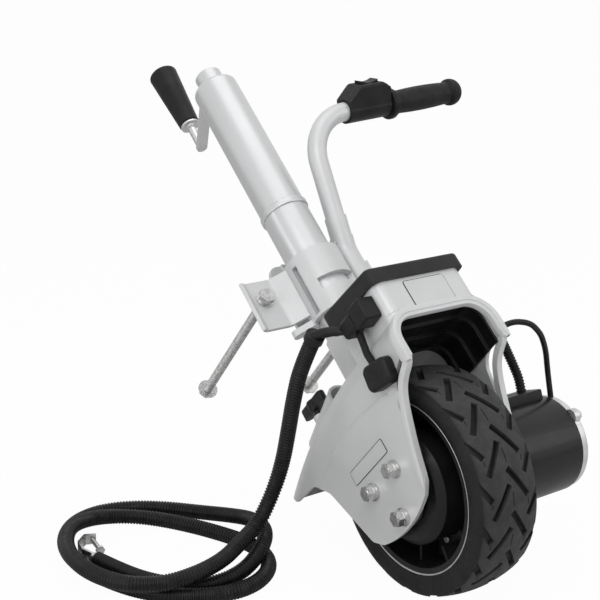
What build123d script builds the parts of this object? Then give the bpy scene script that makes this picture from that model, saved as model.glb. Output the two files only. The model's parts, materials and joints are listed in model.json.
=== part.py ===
"""Motorised jockey wheel: a jack tube with its crank, a drawbar clamp, a tiller and a driven wheel.

Every piece is made in the device frame: origin at the wheel's centre, X to the front, Y along the axle
towards the motor, Z up along the jack tube. Each finished piece is then leaned back with the whole device
and moved, so that the origin is the middle of the drawbar face on the clamp. The lead hangs and lies under
its own weight, so it is made in the leaned frame itself.
"""

import os
from math import cos, pi, radians, sin, sqrt, tan

from build123d import *

os.makedirs("parts", exist_ok=True)

# Clearances
run_gap = 0.05
seat_gap = 0.3

# Tyre and rim
tyre_radius = 130
tyre_width = 85
tread_depth = 7
tread_repeats = 17
slot_width = 7.5
slot_slant = 55
sipe_width = 1.2
tread_slots = ((-36, 18, 17.0), (-15, 24, 10.0), (10, 24, 17.8), (33, 22, 7.1))
tread_sipes = ((-28, 6, 9.0), (0, 16, 10.4), (22.5, 6, 7.0))
rim_radius = 96
rim_width = 74
rim_wall = 3
rim_lip = 5
rib_count = 12
web_y = 6
web_thick = 6

# Hub drum, which turns with the wheel
drum_radius = 66
drum_bore = 57.5
drum_left = -46
drum_right = 44
drum_flange = 10
flange_thick = 5
rim_screw_count = 6
rim_screw_radius = 2.5

# Hub gears: the planets stand on fixed pins, so the ring turns against the sun
gear_module = 2.25
sun_teeth = 12
planet_teeth = 18
planet_count = 3
ring_teeth = sun_teeth + 2 * planet_teeth
gear_face = 18
gear_y = 7
addendum = 1.55
dedendum = 2.5
tooth_share = 0.4
planet_pin_radius = 4

# Axle, bearings and hub bolts
hub_bolt_count = 3
hub_circle = 62
hub_bolt_radius = 5
hub_head_across = 16
hub_head_height = 8
flat_washer = 2
spring_washer = 3.2
axle_radius = 12.5
axle_flange_radius = 42
axle_flange_thick = 8
left_bearing_radius = 26
left_bearing_width = 15
boss_radius = 20
boss_flange_radius = 52
right_bearing_radius = 34
right_bearing_width = 15
shaft_radius = 6
shaft_bore = 9.5

# Wheel housing
left_face = -62
right_face = 80
plate_thick = 5
fender_thick = 5
fender_top = 148
fender_round = 30
fender_radius = 637
tail_x = -186
arch_front = 140
arch_bar = 9
arch_proud = 4
arch_round = 36
arch_foot = 104
neck_radius = 33
neck_top = 205

# Control box on the housing
box_back = 38
box_left = -53
box_right = 76
box_top = 196
box_wall = 4
box_corner = 14
lid_lap = 4
lid_corner = 9
lid_skirt = 9
lid_rise = 10
lid_slope = 5.4
screw_radius = 2.1
screw_inset = 12
board_thick = 1.6
board_lift = 6

# Motor
motor_radius = 59
motor_wall = 4
motor_end = 185
cap_thick = 11
magnet_count = 4
magnet_thick = 7
magnet_span = 62
air_gap = 1
armature_length = 56
cover_angle = 61
cover_width = 38
cover_length = 86
cover_height = 9
cover_start = 92

# Jack
outer_radius = 30
outer_wall = 3
outer_bottom = 206
shoulder_z = 606
shoulder_round = 7
bead_z = 390
bead_height = 9
bead_proud = 2
inner_radius = 25
inner_wall = 3
inner_bottom = 152
inner_top = shoulder_z - 50
bush_length = 40
nut_length = 30
nut_flange = 5
screw_rod_radius = 10
screw_bottom = 330
thrust_low = 590
thrust_thick = 10
crank_hub_radius = 18
crank_hub_bottom = 607
crank_hub_top = 628
crank_radius = 155
crank_angle = 162.5
arm_width = 16
arm_thick = 6
pin_radius = 6
grip_length = 103
grip_narrow = 15
grip_wide = 21

# Drawbar clamp
sleeve_gap = 0.3
sleeve_wall = 7
sleeve_low = 232
sleeve_high = 315
slit_angle = 76
slit_width = 8
window_low = 258
window_high = 273
wing_x = -24
wing_reach = 98
wing_thick = 5
wing_low = 243
wing_high = 312
clamp_bolt_radius = 6
clamp_bolt_y = 75
left_bolt_z = 285
right_bolt_z = 256
clamp_bolt_end = -236
clamp_head_across = 18
clamp_head_height = 7
washer_thick = 2
clamp_spring_thick = 2
flange_nut_x = -226
backing_x = -38
backing_thick = 5
backing_half = 38
backing_low = 236
backing_high = 338
backing_round = 15

# Tiller
tiller_x = 3
tiller_y = 54
tiller_radius = 15
tiller_wall = 2.5
upper_radius = 12
tiller_low = 170
elbow_z = 318
tiller_lean = 20.5
ferrule_from = 18
ferrule_length = 27
upper_from = 8.6
bend_z = 485
bend_radius = 65
bar_rise = 4
tiller_end_y = 314
socket_wall = 3.5
socket_low = 158
socket_high = 220
housing_from = 116
housing_to = 183
collar_from = 186
collar_to = 200
grip_to = 305

# Stance: the device leans back on its wheel, and the clamp's drawbar face is the origin
lean = 48.75
face_x = backing_x - backing_thick
face_z = 265
stance = Location((0, 0, 0), (0, -lean, 0)) * Location((-face_x, 0, -face_z))
wheel_centre = (stance * Location((0, 0, 0))).position
floor_z = wheel_centre.Z - tyre_radius

# Lead
lead_radius = 9.5
rib_pitch = 3.8
rib_depth = 1.1
lead_drop_route = [
    (118.6, -90, 284), (99, -93, 247), (88, -95.5, 205), (80, -97.5, 162),
    (73, -101, 121), (70, -113, 85), (76, -138, 54), (87, -169.5, 44.5),
]
lead_coil_route = [
    (87, -169.5, 44.5), (98, -201, 35), (104, -241, 31.5), (100, -283, 30), (76, -317, 29.8),
    (32, -336, 29.8), (-16, -338, 29.8), (-61, -325, 29.8), (-97, -300, 28.6), (-117, -263, 20.5),
    (-116, -224, 13), (-93, -190, 9.7), (-54, -165, 9.7), (-10, -144, 9.7), (36, -128, 9.7),
    (77, -127, 9.7), (111, -146, 9.7), (130, -181, 9.7), (128, -220, 9.7), (109, -256, 9.7),
    (77, -286, 9.7), (38, -306, 9.7), (-10, -319, 9.7), (-58, -322, 9.7), (-104, -308, 9.7),
    (-138, -278, 9.7), (-149, -238, 9.7), (-137, -198, 9.7), (-107, -161, 9.7), (-68, -132, 11),
    (-24, -114, 19), (19, -108, 29), (58, -116, 34), (88, -138, 31.5), (105, -174, 17),
    (103, -214, 9.7), (84, -248, 9.7), (52, -273, 9.7), (12, -288, 9.7), (-32, -298, 9.7),
]


def hand_over(piece, name, place=Location()):
    """Label a finished piece, move it to its place, lean it with the device and write its STEP file."""
    piece.part.label = name
    leaned = piece.part.moved(stance * place)
    leaned.label = name
    export_step(leaned, f"parts/{name}.step")


def polar(radius, angle):
    """A point at a radius and an angle in degrees."""
    return (radius * cos(radians(angle)), radius * sin(radians(angle)))


def side(y):
    """The plane square to the axle at y, with local x along X and local y along Z, facing -Y."""
    return Plane(origin=(0, y, 0), x_dir=(1, 0, 0), z_dir=(0, -1, 0))


def front(x):
    """The plane square to X at x, with local x along Y and local y along Z, facing +X."""
    return Plane(origin=(x, 0, 0), x_dir=(0, 1, 0), z_dir=(1, 0, 0))


def level(z):
    """The plane square to the jack tube at z."""
    return Plane.XY.offset(z)


# Tyre with four slanted slots and three thin sipes in each repeat of its tread
half_tyre = tyre_width / 2
half_seat = rim_width / 2 - rim_wall
with BuildPart() as tyre:
    with BuildSketch(Plane.XY):
        with BuildLine():
            Polyline(
                (rim_radius, half_seat),
                (rim_radius, -half_seat),
                (rim_radius + rim_lip, -half_seat),
                (rim_radius + rim_lip, -half_tyre + 4),
            )
            ThreePointArc(
                (rim_radius + rim_lip, -half_tyre + 4),
                (rim_radius + 15, -half_tyre),
                (tyre_radius - 5, -half_tyre + 4),
            )
            ThreePointArc(
                (tyre_radius - 5, -half_tyre + 4), (tyre_radius, 0), (tyre_radius - 5, half_tyre - 4)
            )
            ThreePointArc(
                (tyre_radius - 5, half_tyre - 4),
                (rim_radius + 15, half_tyre),
                (rim_radius + rim_lip, half_tyre - 4),
            )
            Polyline(
                (rim_radius + rim_lip, half_tyre - 4),
                (rim_radius + rim_lip, half_seat),
                (rim_radius, half_seat),
            )
        make_face()
    revolve(axis=Axis.Y)
    for slot_y, slot_across, slot_angle in tread_slots:
        slant = slot_slant if slot_y in (tread_slots[1][0], tread_slots[3][0]) else -slot_slant
        with Locations(side(slot_y)):
            with PolarLocations(tyre_radius, tread_repeats, start_angle=slot_angle - lean):
                Box(
                    2 * tread_depth,
                    slot_width,
                    slot_across / cos(radians(slot_slant)),
                    rotation=(slant, 0, 0),
                    mode=Mode.SUBTRACT,
                )
    for sipe_y, sipe_length, sipe_angle in tread_sipes:
        with Locations(side(sipe_y)):
            with PolarLocations(tyre_radius, tread_repeats, start_angle=sipe_angle - lean):
                Box(tread_depth, sipe_length, sipe_width, mode=Mode.SUBTRACT)
hand_over(tyre, "tyre")

# Rim: a barrel with two lips, a web bolted to the drum and ribs on the open side of the dish
half_rim = rim_width / 2
barrel_inner = rim_radius - rim_wall
rim_screw_circle = drum_radius + drum_flange / 2
with BuildPart() as wheel_rim:
    with BuildSketch(Plane.XY):
        with BuildLine():
            Polyline(
                (barrel_inner, -half_rim),
                (rim_radius + rim_lip, -half_rim),
                (rim_radius + rim_lip, -half_seat),
                (rim_radius, -half_seat),
                (rim_radius, half_seat),
                (rim_radius + rim_lip, half_seat),
                (rim_radius + rim_lip, half_rim),
                (barrel_inner, half_rim),
                (barrel_inner, web_y + web_thick),
                (drum_radius + run_gap, web_y + web_thick),
                (drum_radius + run_gap, web_y),
                (barrel_inner, web_y),
                (barrel_inner, -half_rim),
            )
        make_face()
    revolve(axis=Axis.Y)
    rib_low = drum_radius + 8
    with Locations(side(web_y)):
        with PolarLocations((rib_low + barrel_inner + 1) / 2, rib_count, start_angle=15):
            Box(barrel_inner + 1 - rib_low, 4, 26, align=(Align.CENTER, Align.CENTER, Align.MIN))
    with BuildSketch(side(web_y)):
        with PolarLocations(rim_screw_circle, rim_screw_count):
            Circle(rim_screw_radius + run_gap)
    extrude(amount=-web_thick, mode=Mode.SUBTRACT)
hand_over(wheel_rim, "wheel_rim")


def tooth_outline(teeth, root, tip, first):
    """Corners of a gear outline with straight flanks, its first tooth centred at an angle."""
    pitch_radius = gear_module * teeth / 2
    thickness = tooth_share * pi * gear_module / pitch_radius * 180 / pi
    corners = []
    for index in range(teeth):
        middle = first + index * 360 / teeth
        corners += [
            polar(root, middle - 0.74 * thickness),
            polar(tip, middle - 0.27 * thickness),
            polar(tip, middle + 0.27 * thickness),
            polar(root, middle + 0.74 * thickness),
        ]
    return corners


# Drum: seats for both bearings, a flange for the rim and teeth cut inside
seat_left = drum_left + left_bearing_width + 2
seat_right = drum_right - right_bearing_width - 2
gear_low = gear_y - gear_face / 2
ring_pitch = gear_module * ring_teeth / 2
flange_y = web_y + web_thick
with BuildPart() as hub_drum:
    with BuildSketch(Plane.XY):
        with BuildLine():
            Polyline(
                (left_bearing_radius + run_gap, drum_left),
                (drum_radius - 8, drum_left),
                (drum_radius, drum_left + 8),
                (drum_radius, flange_y),
                (drum_radius + drum_flange, flange_y),
                (drum_radius + drum_flange, flange_y + flange_thick),
                (drum_radius, flange_y + flange_thick),
                (drum_radius, drum_right),
                (right_bearing_radius + run_gap, drum_right),
                (right_bearing_radius + run_gap, seat_right),
                (drum_bore, seat_right),
                (drum_bore, gear_low + gear_face),
                (ring_pitch - addendum, gear_low + gear_face),
                (ring_pitch - addendum, gear_low),
                (drum_bore, gear_low),
                (drum_bore, seat_left),
                (left_bearing_radius + run_gap, seat_left),
                (left_bearing_radius + run_gap, drum_left),
            )
        make_face()
    revolve(axis=Axis.Y)
    with BuildSketch(side(gear_low)):
        with BuildLine():
            Polyline(
                *tooth_outline(ring_teeth, ring_pitch + dedendum, ring_pitch - addendum - 0.01, 0),
                close=True,
            )
        make_face()
    extrude(amount=-gear_face, mode=Mode.SUBTRACT)
    with BuildSketch(side(flange_y)):
        with PolarLocations(rim_screw_circle, rim_screw_count):
            Circle(rim_screw_radius + run_gap)
    extrude(amount=-flange_thick, mode=Mode.SUBTRACT)
hand_over(hub_drum, "hub_drum")

with BuildPart() as rim_screws:
    with BuildSketch(side(web_y)):
        with PolarLocations(rim_screw_circle, rim_screw_count):
            Circle(rim_screw_radius)
    extrude(amount=-web_thick - flange_thick)
    with BuildSketch(side(web_y)):
        with PolarLocations(rim_screw_circle, rim_screw_count):
            RegularPolygon(4, 6, major_radius=False)
    extrude(amount=3.5)
hand_over(rim_screws, "rim_screws")

# Two ball bearings, each one ring with a groove in both faces between its races
with BuildPart() as hub_bearings:
    for bearing_y, bearing_width, bearing_bore, bearing_radius in (
        (drum_left + 1, left_bearing_width, axle_radius, left_bearing_radius),
        (drum_right - 1 - right_bearing_width, right_bearing_width, boss_radius, right_bearing_radius),
    ):
        race = (bearing_radius - bearing_bore) / 3
        with BuildSketch(side(bearing_y)):
            Circle(bearing_radius)
            Circle(bearing_bore + run_gap, mode=Mode.SUBTRACT)
        extrude(amount=-bearing_width)
        for face_y, depth in ((bearing_y, -1.5), (bearing_y + bearing_width, 1.5)):
            with BuildSketch(side(face_y)):
                Circle(bearing_radius - race)
                Circle(bearing_bore + race, mode=Mode.SUBTRACT)
            extrude(amount=depth, mode=Mode.SUBTRACT)
hand_over(hub_bearings, "hub_bearings")

# Planet gears with a gap towards the sun, and the carrier's pins they turn on
carrier_radius = gear_module * (sun_teeth + planet_teeth) / 2
planet_angles = [90 + index * 360 / planet_count for index in range(planet_count)]
planet_pitch = gear_module * planet_teeth / 2
sun_pitch = gear_module * sun_teeth / 2
for index, planet_angle in enumerate(planet_angles):
    planet_x, planet_z = polar(carrier_radius, planet_angle)
    half_tooth = 180 / planet_teeth
    with BuildPart() as planet_gear:
        with BuildSketch(side(gear_low).shift_origin((planet_x, gear_low, planet_z))):
            with BuildLine():
                Polyline(
                    *tooth_outline(
                        planet_teeth,
                        planet_pitch - dedendum,
                        planet_pitch + addendum,
                        planet_angle + half_tooth,
                    ),
                    close=True,
                )
            make_face()
            Circle(planet_pin_radius + run_gap, mode=Mode.SUBTRACT)
        extrude(amount=-gear_face)
    hand_over(planet_gear, f"planet_gear_{index + 1}")

carrier_y = gear_low + gear_face + 1
carrier_thick = 5
with BuildPart() as planet_carrier:
    with BuildSketch(side(carrier_y)):
        Circle(carrier_radius + 10)
        Circle(shaft_bore, mode=Mode.SUBTRACT)
    extrude(amount=-carrier_thick)
    with BuildSketch(side(gear_low - 1)):
        with Locations(*[polar(carrier_radius, angle) for angle in planet_angles]):
            Circle(planet_pin_radius)
    extrude(amount=-(gear_face + 2))

# Flange on the right plate: its boss carries the carrier and the drum's right bearing
right_inner = right_face - plate_thick
with BuildPart() as gearbox_flange:
    add(planet_carrier.part)
    with BuildSketch(side(right_inner)):
        Circle(boss_flange_radius)
    extrude(amount=8)
    with BuildSketch(side(right_inner)):
        Circle(boss_radius + 4)
    extrude(amount=right_inner - drum_right - 0.5)
    with BuildSketch(side(right_inner)):
        Circle(boss_radius)
    extrude(amount=right_inner - carrier_y - carrier_thick)
    with BuildSketch(side(right_inner)):
        Circle(shaft_bore)
    extrude(amount=right_inner, mode=Mode.SUBTRACT)
hand_over(gearbox_flange, "gearbox_flange")

# Stub axle, bolted to the left plate
left_inner = left_face + plate_thick
with BuildPart() as stub_axle:
    with BuildSketch(side(left_inner)):
        Circle(axle_flange_radius)
    extrude(amount=-axle_flange_thick)
    with BuildSketch(side(left_inner)):
        Circle(axle_radius + 4)
    extrude(amount=-(drum_left - left_inner + 0.5))
    with BuildSketch(side(left_inner)):
        Circle(axle_radius)
    extrude(amount=-(seat_left + 6 - left_inner))
    with BuildSketch(side(left_inner)):
        with PolarLocations(hub_circle / 2, hub_bolt_count, start_angle=30):
            Circle(hub_bolt_radius + run_gap)
    extrude(amount=-axle_flange_thick, mode=Mode.SUBTRACT)
hand_over(stub_axle, "stub_axle")

head_seat = left_face - flat_washer - spring_washer
with BuildPart() as hub_bolts:
    with BuildSketch(side(head_seat)):
        with PolarLocations(hub_circle / 2, hub_bolt_count, start_angle=30):
            RegularPolygon(hub_head_across / 2, 6, major_radius=False)
    extrude(amount=hub_head_height)
    with BuildSketch(side(head_seat - hub_head_height)):
        with PolarLocations(hub_circle / 2, hub_bolt_count, start_angle=30):
            Circle(hub_head_across / 2 - 1.5)
    extrude(amount=1)
    with BuildSketch(side(head_seat)):
        with PolarLocations(hub_circle / 2, hub_bolt_count, start_angle=30):
            Circle(hub_bolt_radius)
    extrude(amount=-(left_inner + axle_flange_thick - head_seat))
hand_over(hub_bolts, "hub_bolts")

with BuildPart() as hub_washers:
    for washer_y, washer, washer_radius in (
        (left_face, flat_washer, 10.5),
        (left_face - flat_washer, spring_washer, 8.8),
    ):
        with BuildSketch(side(washer_y)):
            with PolarLocations(hub_circle / 2, hub_bolt_count, start_angle=30):
                Circle(washer_radius)
                Circle(hub_bolt_radius + run_gap, mode=Mode.SUBTRACT)
        extrude(amount=washer)
hand_over(hub_washers, "hub_washers")



def fender_point(x, depth=0):
    """A point of the fender's arc in side view at x, or of the arc a depth under it."""
    radius = fender_radius - depth
    return (x, fender_top - fender_radius + sqrt(radius**2 - (box_back - x) ** 2))


# Side outline of the housing: fender line over the top, then front, foot and back of the plates
with BuildSketch(side(0)) as housing_side:
    with BuildLine():
        ThreePointArc(fender_point(tail_x), fender_point(tail_x / 2), fender_point(box_back))
        Polyline(
            (box_back, fender_top),
            (arch_front, fender_top),
            (arch_front, arch_foot),
            (92, 84),
            (64, -20),
            (51, -31),
        )
        ThreePointArc((51, -31), (-4, -44), (-58, -38))
        Polyline(
            (-58, -38), (-74, -26), (-106, 56), (-130, 79), (-178, 82), (tail_x - 6, 95),
            fender_point(tail_x),
        )
    make_face()
    for corner, radius in (((92, 84), 26), ((64, -20), 14), ((-74, -26), 12), ((-106, 56), 24), ((-130, 79), 10)):
        fillet(vertices().sort_by_distance((corner[0], corner[1], 0))[0], radius)

# Room for the tyre under the fender
with BuildPart() as tyre_room:
    with BuildSketch(side(left_inner)):
        with BuildLine():
            ThreePointArc(
                fender_point(tail_x + fender_thick, fender_thick),
                fender_point(tail_x / 2, fender_thick),
                fender_point(box_back, fender_thick),
            )
            Polyline(
                fender_point(box_back, fender_thick),
                (arch_front + 20, fender_top - fender_thick),
                (arch_front + 20, -80),
                (tail_x - 20, -80),
                (tail_x - 20, 70),
                (tail_x, 70),
                fender_point(tail_x + fender_thick, fender_thick),
            )
        make_face()
    extrude(amount=left_inner - right_inner)
    upper_edges = tyre_room.edges().filter_by(
        lambda edge: edge.length > 60 and edge.center().Z > 110 and abs(edge.tangent_at(0.5).Y) < 0.1
    )
    fillet(upper_edges, fender_round - plate_thick)

# Outer form of the housing before it is hollowed: plates, fender, box seat and the arch's front bar
with BuildPart() as housing_block:
    add(extrude(housing_side.sketch, amount=-right_face, mode=Mode.PRIVATE))
    add(extrude(housing_side.sketch, amount=-left_face, mode=Mode.PRIVATE))
    rounded = housing_block.edges().filter_by(
        lambda edge: edge.length > 60
        and edge.center().Z > 125
        and abs(edge.tangent_at(0.5).Y) < 0.1
        and abs(edge.tangent_at(0.5).Z) < 0.9
    )
    fillet(rounded, fender_round)
    with BuildSketch(level(arch_foot + 6)):
        with Locations(((box_back + arch_front) / 2, (box_left + box_right) / 2)):
            RectangleRounded(arch_front - box_back, box_right - box_left, box_corner)
    extrude(amount=fender_top - arch_foot - 6)
    bar_low = arch_foot - 12
    bar_middle = (left_face + right_face) / 2
    bar_width = right_face - left_face + 2 * arch_proud
    with BuildSketch(front(arch_front - arch_bar)):
        with Locations((bar_middle, (bar_low + fender_top) / 2)):
            Rectangle(bar_width, fender_top - bar_low)
        fillet(vertices().group_by(Axis.Y)[-1], arch_round)
    extrude(amount=arch_bar + 3)

with BuildPart() as housing_shell:
    add(housing_block.part)
    with BuildSketch(level(fender_top - fender_thick)):
        Circle(neck_radius)
    extrude(amount=neck_top - fender_top + fender_thick)
    add(tyre_room.part, mode=Mode.SUBTRACT)
    with BuildSketch(level(inner_bottom)):
        Circle(inner_radius + run_gap)
    extrude(amount=neck_top - inner_bottom, mode=Mode.SUBTRACT)
    with BuildSketch(side(left_face)):
        with PolarLocations(hub_circle / 2, hub_bolt_count, start_angle=30):
            Circle(hub_bolt_radius + run_gap)
    extrude(amount=-plate_thick, mode=Mode.SUBTRACT)
    with BuildSketch(side(right_face)):
        Circle(shaft_bore)
    extrude(amount=plate_thick, mode=Mode.SUBTRACT)
hand_over(housing_shell, "housing_shell")

# Black liner inside the arch with three inverted U ribs
liner_round = fender_round - plate_thick - seat_gap
liner_left = left_inner + seat_gap
liner_right = right_inner - seat_gap
liner_middle = (liner_left + liner_right) / 2
liner_top = fender_top - fender_thick - seat_gap
liner_low = 88
liner_back = box_back + 2
liner_wall = 2.5
liner_rib = 6
with BuildPart() as arch_liner:
    with BuildSketch(front(liner_back)):
        with Locations((liner_middle, (liner_low + liner_top) / 2)):
            Rectangle(liner_right - liner_left, liner_top - liner_low)
        fillet(vertices().group_by(Axis.Y)[-1], liner_round)
    extrude(amount=arch_front - arch_bar - liner_back)
    for start, end, wall in (
        (liner_back, liner_back + 8, liner_wall),
        (liner_back + 8, liner_back + 14, liner_rib),
        (liner_back + 14, liner_back + 38, liner_wall),
        (liner_back + 38, liner_back + 44, liner_rib),
        (liner_back + 44, liner_back + 68, liner_wall),
        (liner_back + 68, liner_back + 74, liner_rib),
        (liner_back + 74, arch_front - arch_bar, liner_wall),
    ):
        with BuildSketch(front(start)):
            with Locations((liner_middle, (liner_low + liner_top) / 2 - wall)):
                Rectangle(liner_right - liner_left - 2 * wall, liner_top - liner_low)
            fillet(vertices().group_by(Axis.Y)[-1], liner_round - wall)
        extrude(amount=end - start, mode=Mode.SUBTRACT)
hand_over(arch_liner, "arch_liner")

# Control box: a tray on the housing, closed by a sloped black lid
box_x = (box_back + arch_front) / 2
box_y = (box_left + box_right) / 2
box_long = arch_front - box_back
box_wide = box_right - box_left
box_floor = fender_top + box_wall
corner_spots = [
    (x, y)
    for x in (box_back + screw_inset, arch_front - screw_inset)
    for y in (box_left + screw_inset, box_right - screw_inset)
]
with BuildPart() as control_box:
    with BuildSketch(level(fender_top)):
        with Locations((box_x, box_y)):
            RectangleRounded(box_long, box_wide, box_corner)
    extrude(amount=box_top - fender_top)
    with BuildSketch(level(box_floor)):
        with Locations((box_x, box_y)):
            RectangleRounded(
                box_long - 2 * box_wall, box_wide - 2 * box_wall, box_corner - box_wall
            )
        with Locations(*corner_spots):
            Circle(5, mode=Mode.SUBTRACT)
    extrude(amount=box_top - box_floor, mode=Mode.SUBTRACT)
    with BuildSketch(level(box_top)):
        with Locations(*corner_spots):
            Circle(screw_radius + run_gap)
    extrude(amount=-20, mode=Mode.SUBTRACT)
hand_over(control_box, "control_box")

lid_front_top = box_top + lid_rise


def lid_height(x):
    """Height of the lid's sloped top at x."""
    return lid_front_top + (arch_front - x) * tan(radians(lid_slope))


with BuildPart() as box_lid:
    with BuildSketch(level(box_top - lid_skirt)):
        with Locations((box_x, box_y)):
            RectangleRounded(box_long + 2 * lid_lap, box_wide + 2 * lid_lap, lid_corner)
    extrude(amount=lid_skirt + 2 * lid_rise + 4)
    lid_slope_plane = Plane(
        origin=(arch_front, 0, lid_front_top),
        x_dir=(cos(radians(lid_slope)), 0, -sin(radians(lid_slope))),
        z_dir=(sin(radians(lid_slope)), 0, cos(radians(lid_slope))),
    )
    split(bisect_by=lid_slope_plane, keep=Keep.BOTTOM)
    fillet(box_lid.faces().sort_by(Axis.Z)[-1].edges(), 4)
    with BuildSketch(level(box_top - lid_skirt)):
        with Locations((box_x, box_y)):
            RectangleRounded(
                box_long + 2 * seat_gap, box_wide + 2 * seat_gap, box_corner + seat_gap
            )
    extrude(amount=lid_skirt, mode=Mode.SUBTRACT)
    with BuildSketch(level(box_top)):
        with Locations(*corner_spots):
            Circle(screw_radius + run_gap)
    extrude(amount=3 * lid_rise, mode=Mode.SUBTRACT)
    with BuildSketch(level(box_top + 5)):
        with Locations(*corner_spots):
            Circle(4.5)
    extrude(amount=3 * lid_rise, mode=Mode.SUBTRACT)
hand_over(box_lid, "box_lid")

with BuildPart() as case_screws:
    with BuildSketch(level(box_top + 5)):
        with Locations(*corner_spots):
            Circle(screw_radius)
    extrude(amount=-20)
    with BuildSketch(level(box_top + 5)):
        with Locations(*corner_spots):
            Circle(3.8)
    extrude(amount=2.6)

# Control board on four pillars, with two relays and a fuse
board_low = box_floor + board_lift
with BuildPart() as control_board:
    with BuildSketch(level(board_low)):
        with Locations((box_x, box_y)):
            Rectangle(62, 84)
    extrude(amount=board_thick)
    with BuildSketch(level(box_floor)):
        with Locations((box_x, box_y)):
            with GridLocations(54, 76, 2, 2):
                Circle(3)
    extrude(amount=board_lift)
    with BuildSketch(level(board_low + board_thick)):
        with Locations((box_x, box_y - 22), (box_x, box_y + 8)):
            RectangleRounded(28, 25, 1)
        with Locations((box_x, box_y + 32)):
            RectangleRounded(32, 9, 1)
    extrude(amount=22)
hand_over(control_board, "control_board")

# Jack: inner tube in the housing's neck, with the lifting nut in its top
with BuildPart() as inner_tube:
    with BuildSketch(level(inner_bottom)):
        Circle(inner_radius)
        Circle(inner_radius - inner_wall, mode=Mode.SUBTRACT)
    extrude(amount=inner_top - inner_bottom)
hand_over(inner_tube, "inner_tube")

with BuildPart() as lifting_nut:
    with BuildSketch(level(inner_top)):
        Circle(outer_radius - outer_wall - run_gap)
    extrude(amount=nut_flange)
    with BuildSketch(level(inner_top)):
        Circle(inner_radius - inner_wall)
    extrude(amount=-nut_length)
    with BuildSketch(level(inner_top + nut_flange)):
        Circle(screw_rod_radius + run_gap)
    extrude(amount=-nut_length - nut_flange, mode=Mode.SUBTRACT)
hand_over(lifting_nut, "lifting_nut")

# Outer tube with a bead and a rolled shoulder, whose top lets the lead screw through
tube_inner = outer_radius - outer_wall
with BuildPart() as outer_tube:
    with BuildSketch(level(outer_bottom)):
        Circle(outer_radius)
    extrude(amount=shoulder_z - outer_bottom)
    fillet(outer_tube.edges().group_by(Axis.Z)[-1], shoulder_round)
    with BuildSketch(level(bead_z - bead_height / 2)):
        Circle(outer_radius + bead_proud)
    extrude(amount=bead_height)
    fillet(
        outer_tube.edges().filter_by(
            lambda edge: abs(edge.bounding_box().max.X - outer_radius - bead_proud) < 0.1
        ),
        bead_proud - 0.3,
    )
    with BuildSketch(level(outer_bottom)):
        Circle(tube_inner)
    extrude(amount=thrust_low + thrust_thick - outer_bottom, mode=Mode.SUBTRACT)
    with BuildSketch(level(shoulder_z)):
        Circle(screw_rod_radius + run_gap)
    extrude(amount=-shoulder_round - 10, mode=Mode.SUBTRACT)
hand_over(outer_tube, "outer_tube")

with BuildPart() as guide_bush:
    with BuildSketch(level(outer_bottom)):
        Circle(tube_inner)
        Circle(inner_radius + run_gap, mode=Mode.SUBTRACT)
    extrude(amount=bush_length)
hand_over(guide_bush, "guide_bush")

with BuildPart() as thrust_bearing:
    with BuildSketch(level(thrust_low)):
        Circle(tube_inner - run_gap)
        Circle(screw_rod_radius + run_gap, mode=Mode.SUBTRACT)
    extrude(amount=thrust_thick)
    with BuildSketch(level(thrust_low + thrust_thick / 2 - 1)):
        Circle(tube_inner)
        Circle(tube_inner - 2.5, mode=Mode.SUBTRACT)
    extrude(amount=2, mode=Mode.SUBTRACT)
hand_over(thrust_bearing, "thrust_bearing")

# Lead screw with a collar under the thrust bearing; the crank's hub stands on its end
with BuildPart() as lead_screw:
    with BuildSketch(level(screw_bottom)):
        Circle(screw_rod_radius)
    extrude(amount=crank_hub_bottom - screw_bottom)
    with BuildSketch(level(thrust_low)):
        Circle(screw_rod_radius + 5)
    extrude(amount=-6)
    with BuildSketch(level(crank_hub_bottom)):
        Rectangle(12, 12)
    extrude(amount=crank_hub_top - crank_hub_bottom - 4)
hand_over(lead_screw, "lead_screw")

with BuildPart() as crank_hub:
    with BuildSketch(level(crank_hub_bottom)):
        Circle(crank_hub_radius)
    extrude(amount=crank_hub_top - crank_hub_bottom)
    chamfer(crank_hub.edges().group_by(Axis.Z)[-1], 2)
    with BuildSketch(level(crank_hub_bottom)):
        Rectangle(12 + 2 * run_gap, 12 + 2 * run_gap)
    extrude(amount=crank_hub_top - crank_hub_bottom - 4, mode=Mode.SUBTRACT)
    arm_low = crank_hub_top - arm_thick
    arm_plane = level(arm_low - run_gap).rotated((0, 0, crank_angle))
    with BuildSketch(arm_plane):
        with Locations((crank_hub_radius, 0)):
            Rectangle(12, arm_width + 2 * run_gap)
    extrude(amount=arm_thick + 1, mode=Mode.SUBTRACT)
hand_over(crank_hub, "crank_hub")

with BuildPart() as crank_arm:
    with BuildSketch(level(arm_low).rotated((0, 0, crank_angle))):
        with Locations(((crank_radius + crank_hub_radius - 6) / 2, 0)):
            Rectangle(crank_radius - crank_hub_radius + 6, arm_width)
        with Locations((crank_radius, 0)):
            Circle(arm_width / 2)
            Circle(pin_radius + run_gap, mode=Mode.SUBTRACT)
    extrude(amount=arm_thick)
hand_over(crank_arm, "crank_arm")

# Crank pin with a washer disc, on which the grip turns
pin_x, pin_y = polar(crank_radius, crank_angle)
grip_low = crank_hub_top + 40
grip_top = grip_low + grip_length
with BuildPart() as crank_pin:
    with BuildSketch(level(arm_low)):
        with Locations((pin_x, pin_y)):
            Circle(pin_radius)
    extrude(amount=grip_top - 12 - arm_low)
    with BuildSketch(level(grip_low - seat_gap)):
        with Locations((pin_x, pin_y)):
            Circle(14)
    extrude(amount=-3)
    with BuildSketch(level(grip_low - seat_gap - 3)):
        with Locations((pin_x, pin_y)):
            Circle(8)
    extrude(amount=-4)
hand_over(crank_pin, "crank_pin")

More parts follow.
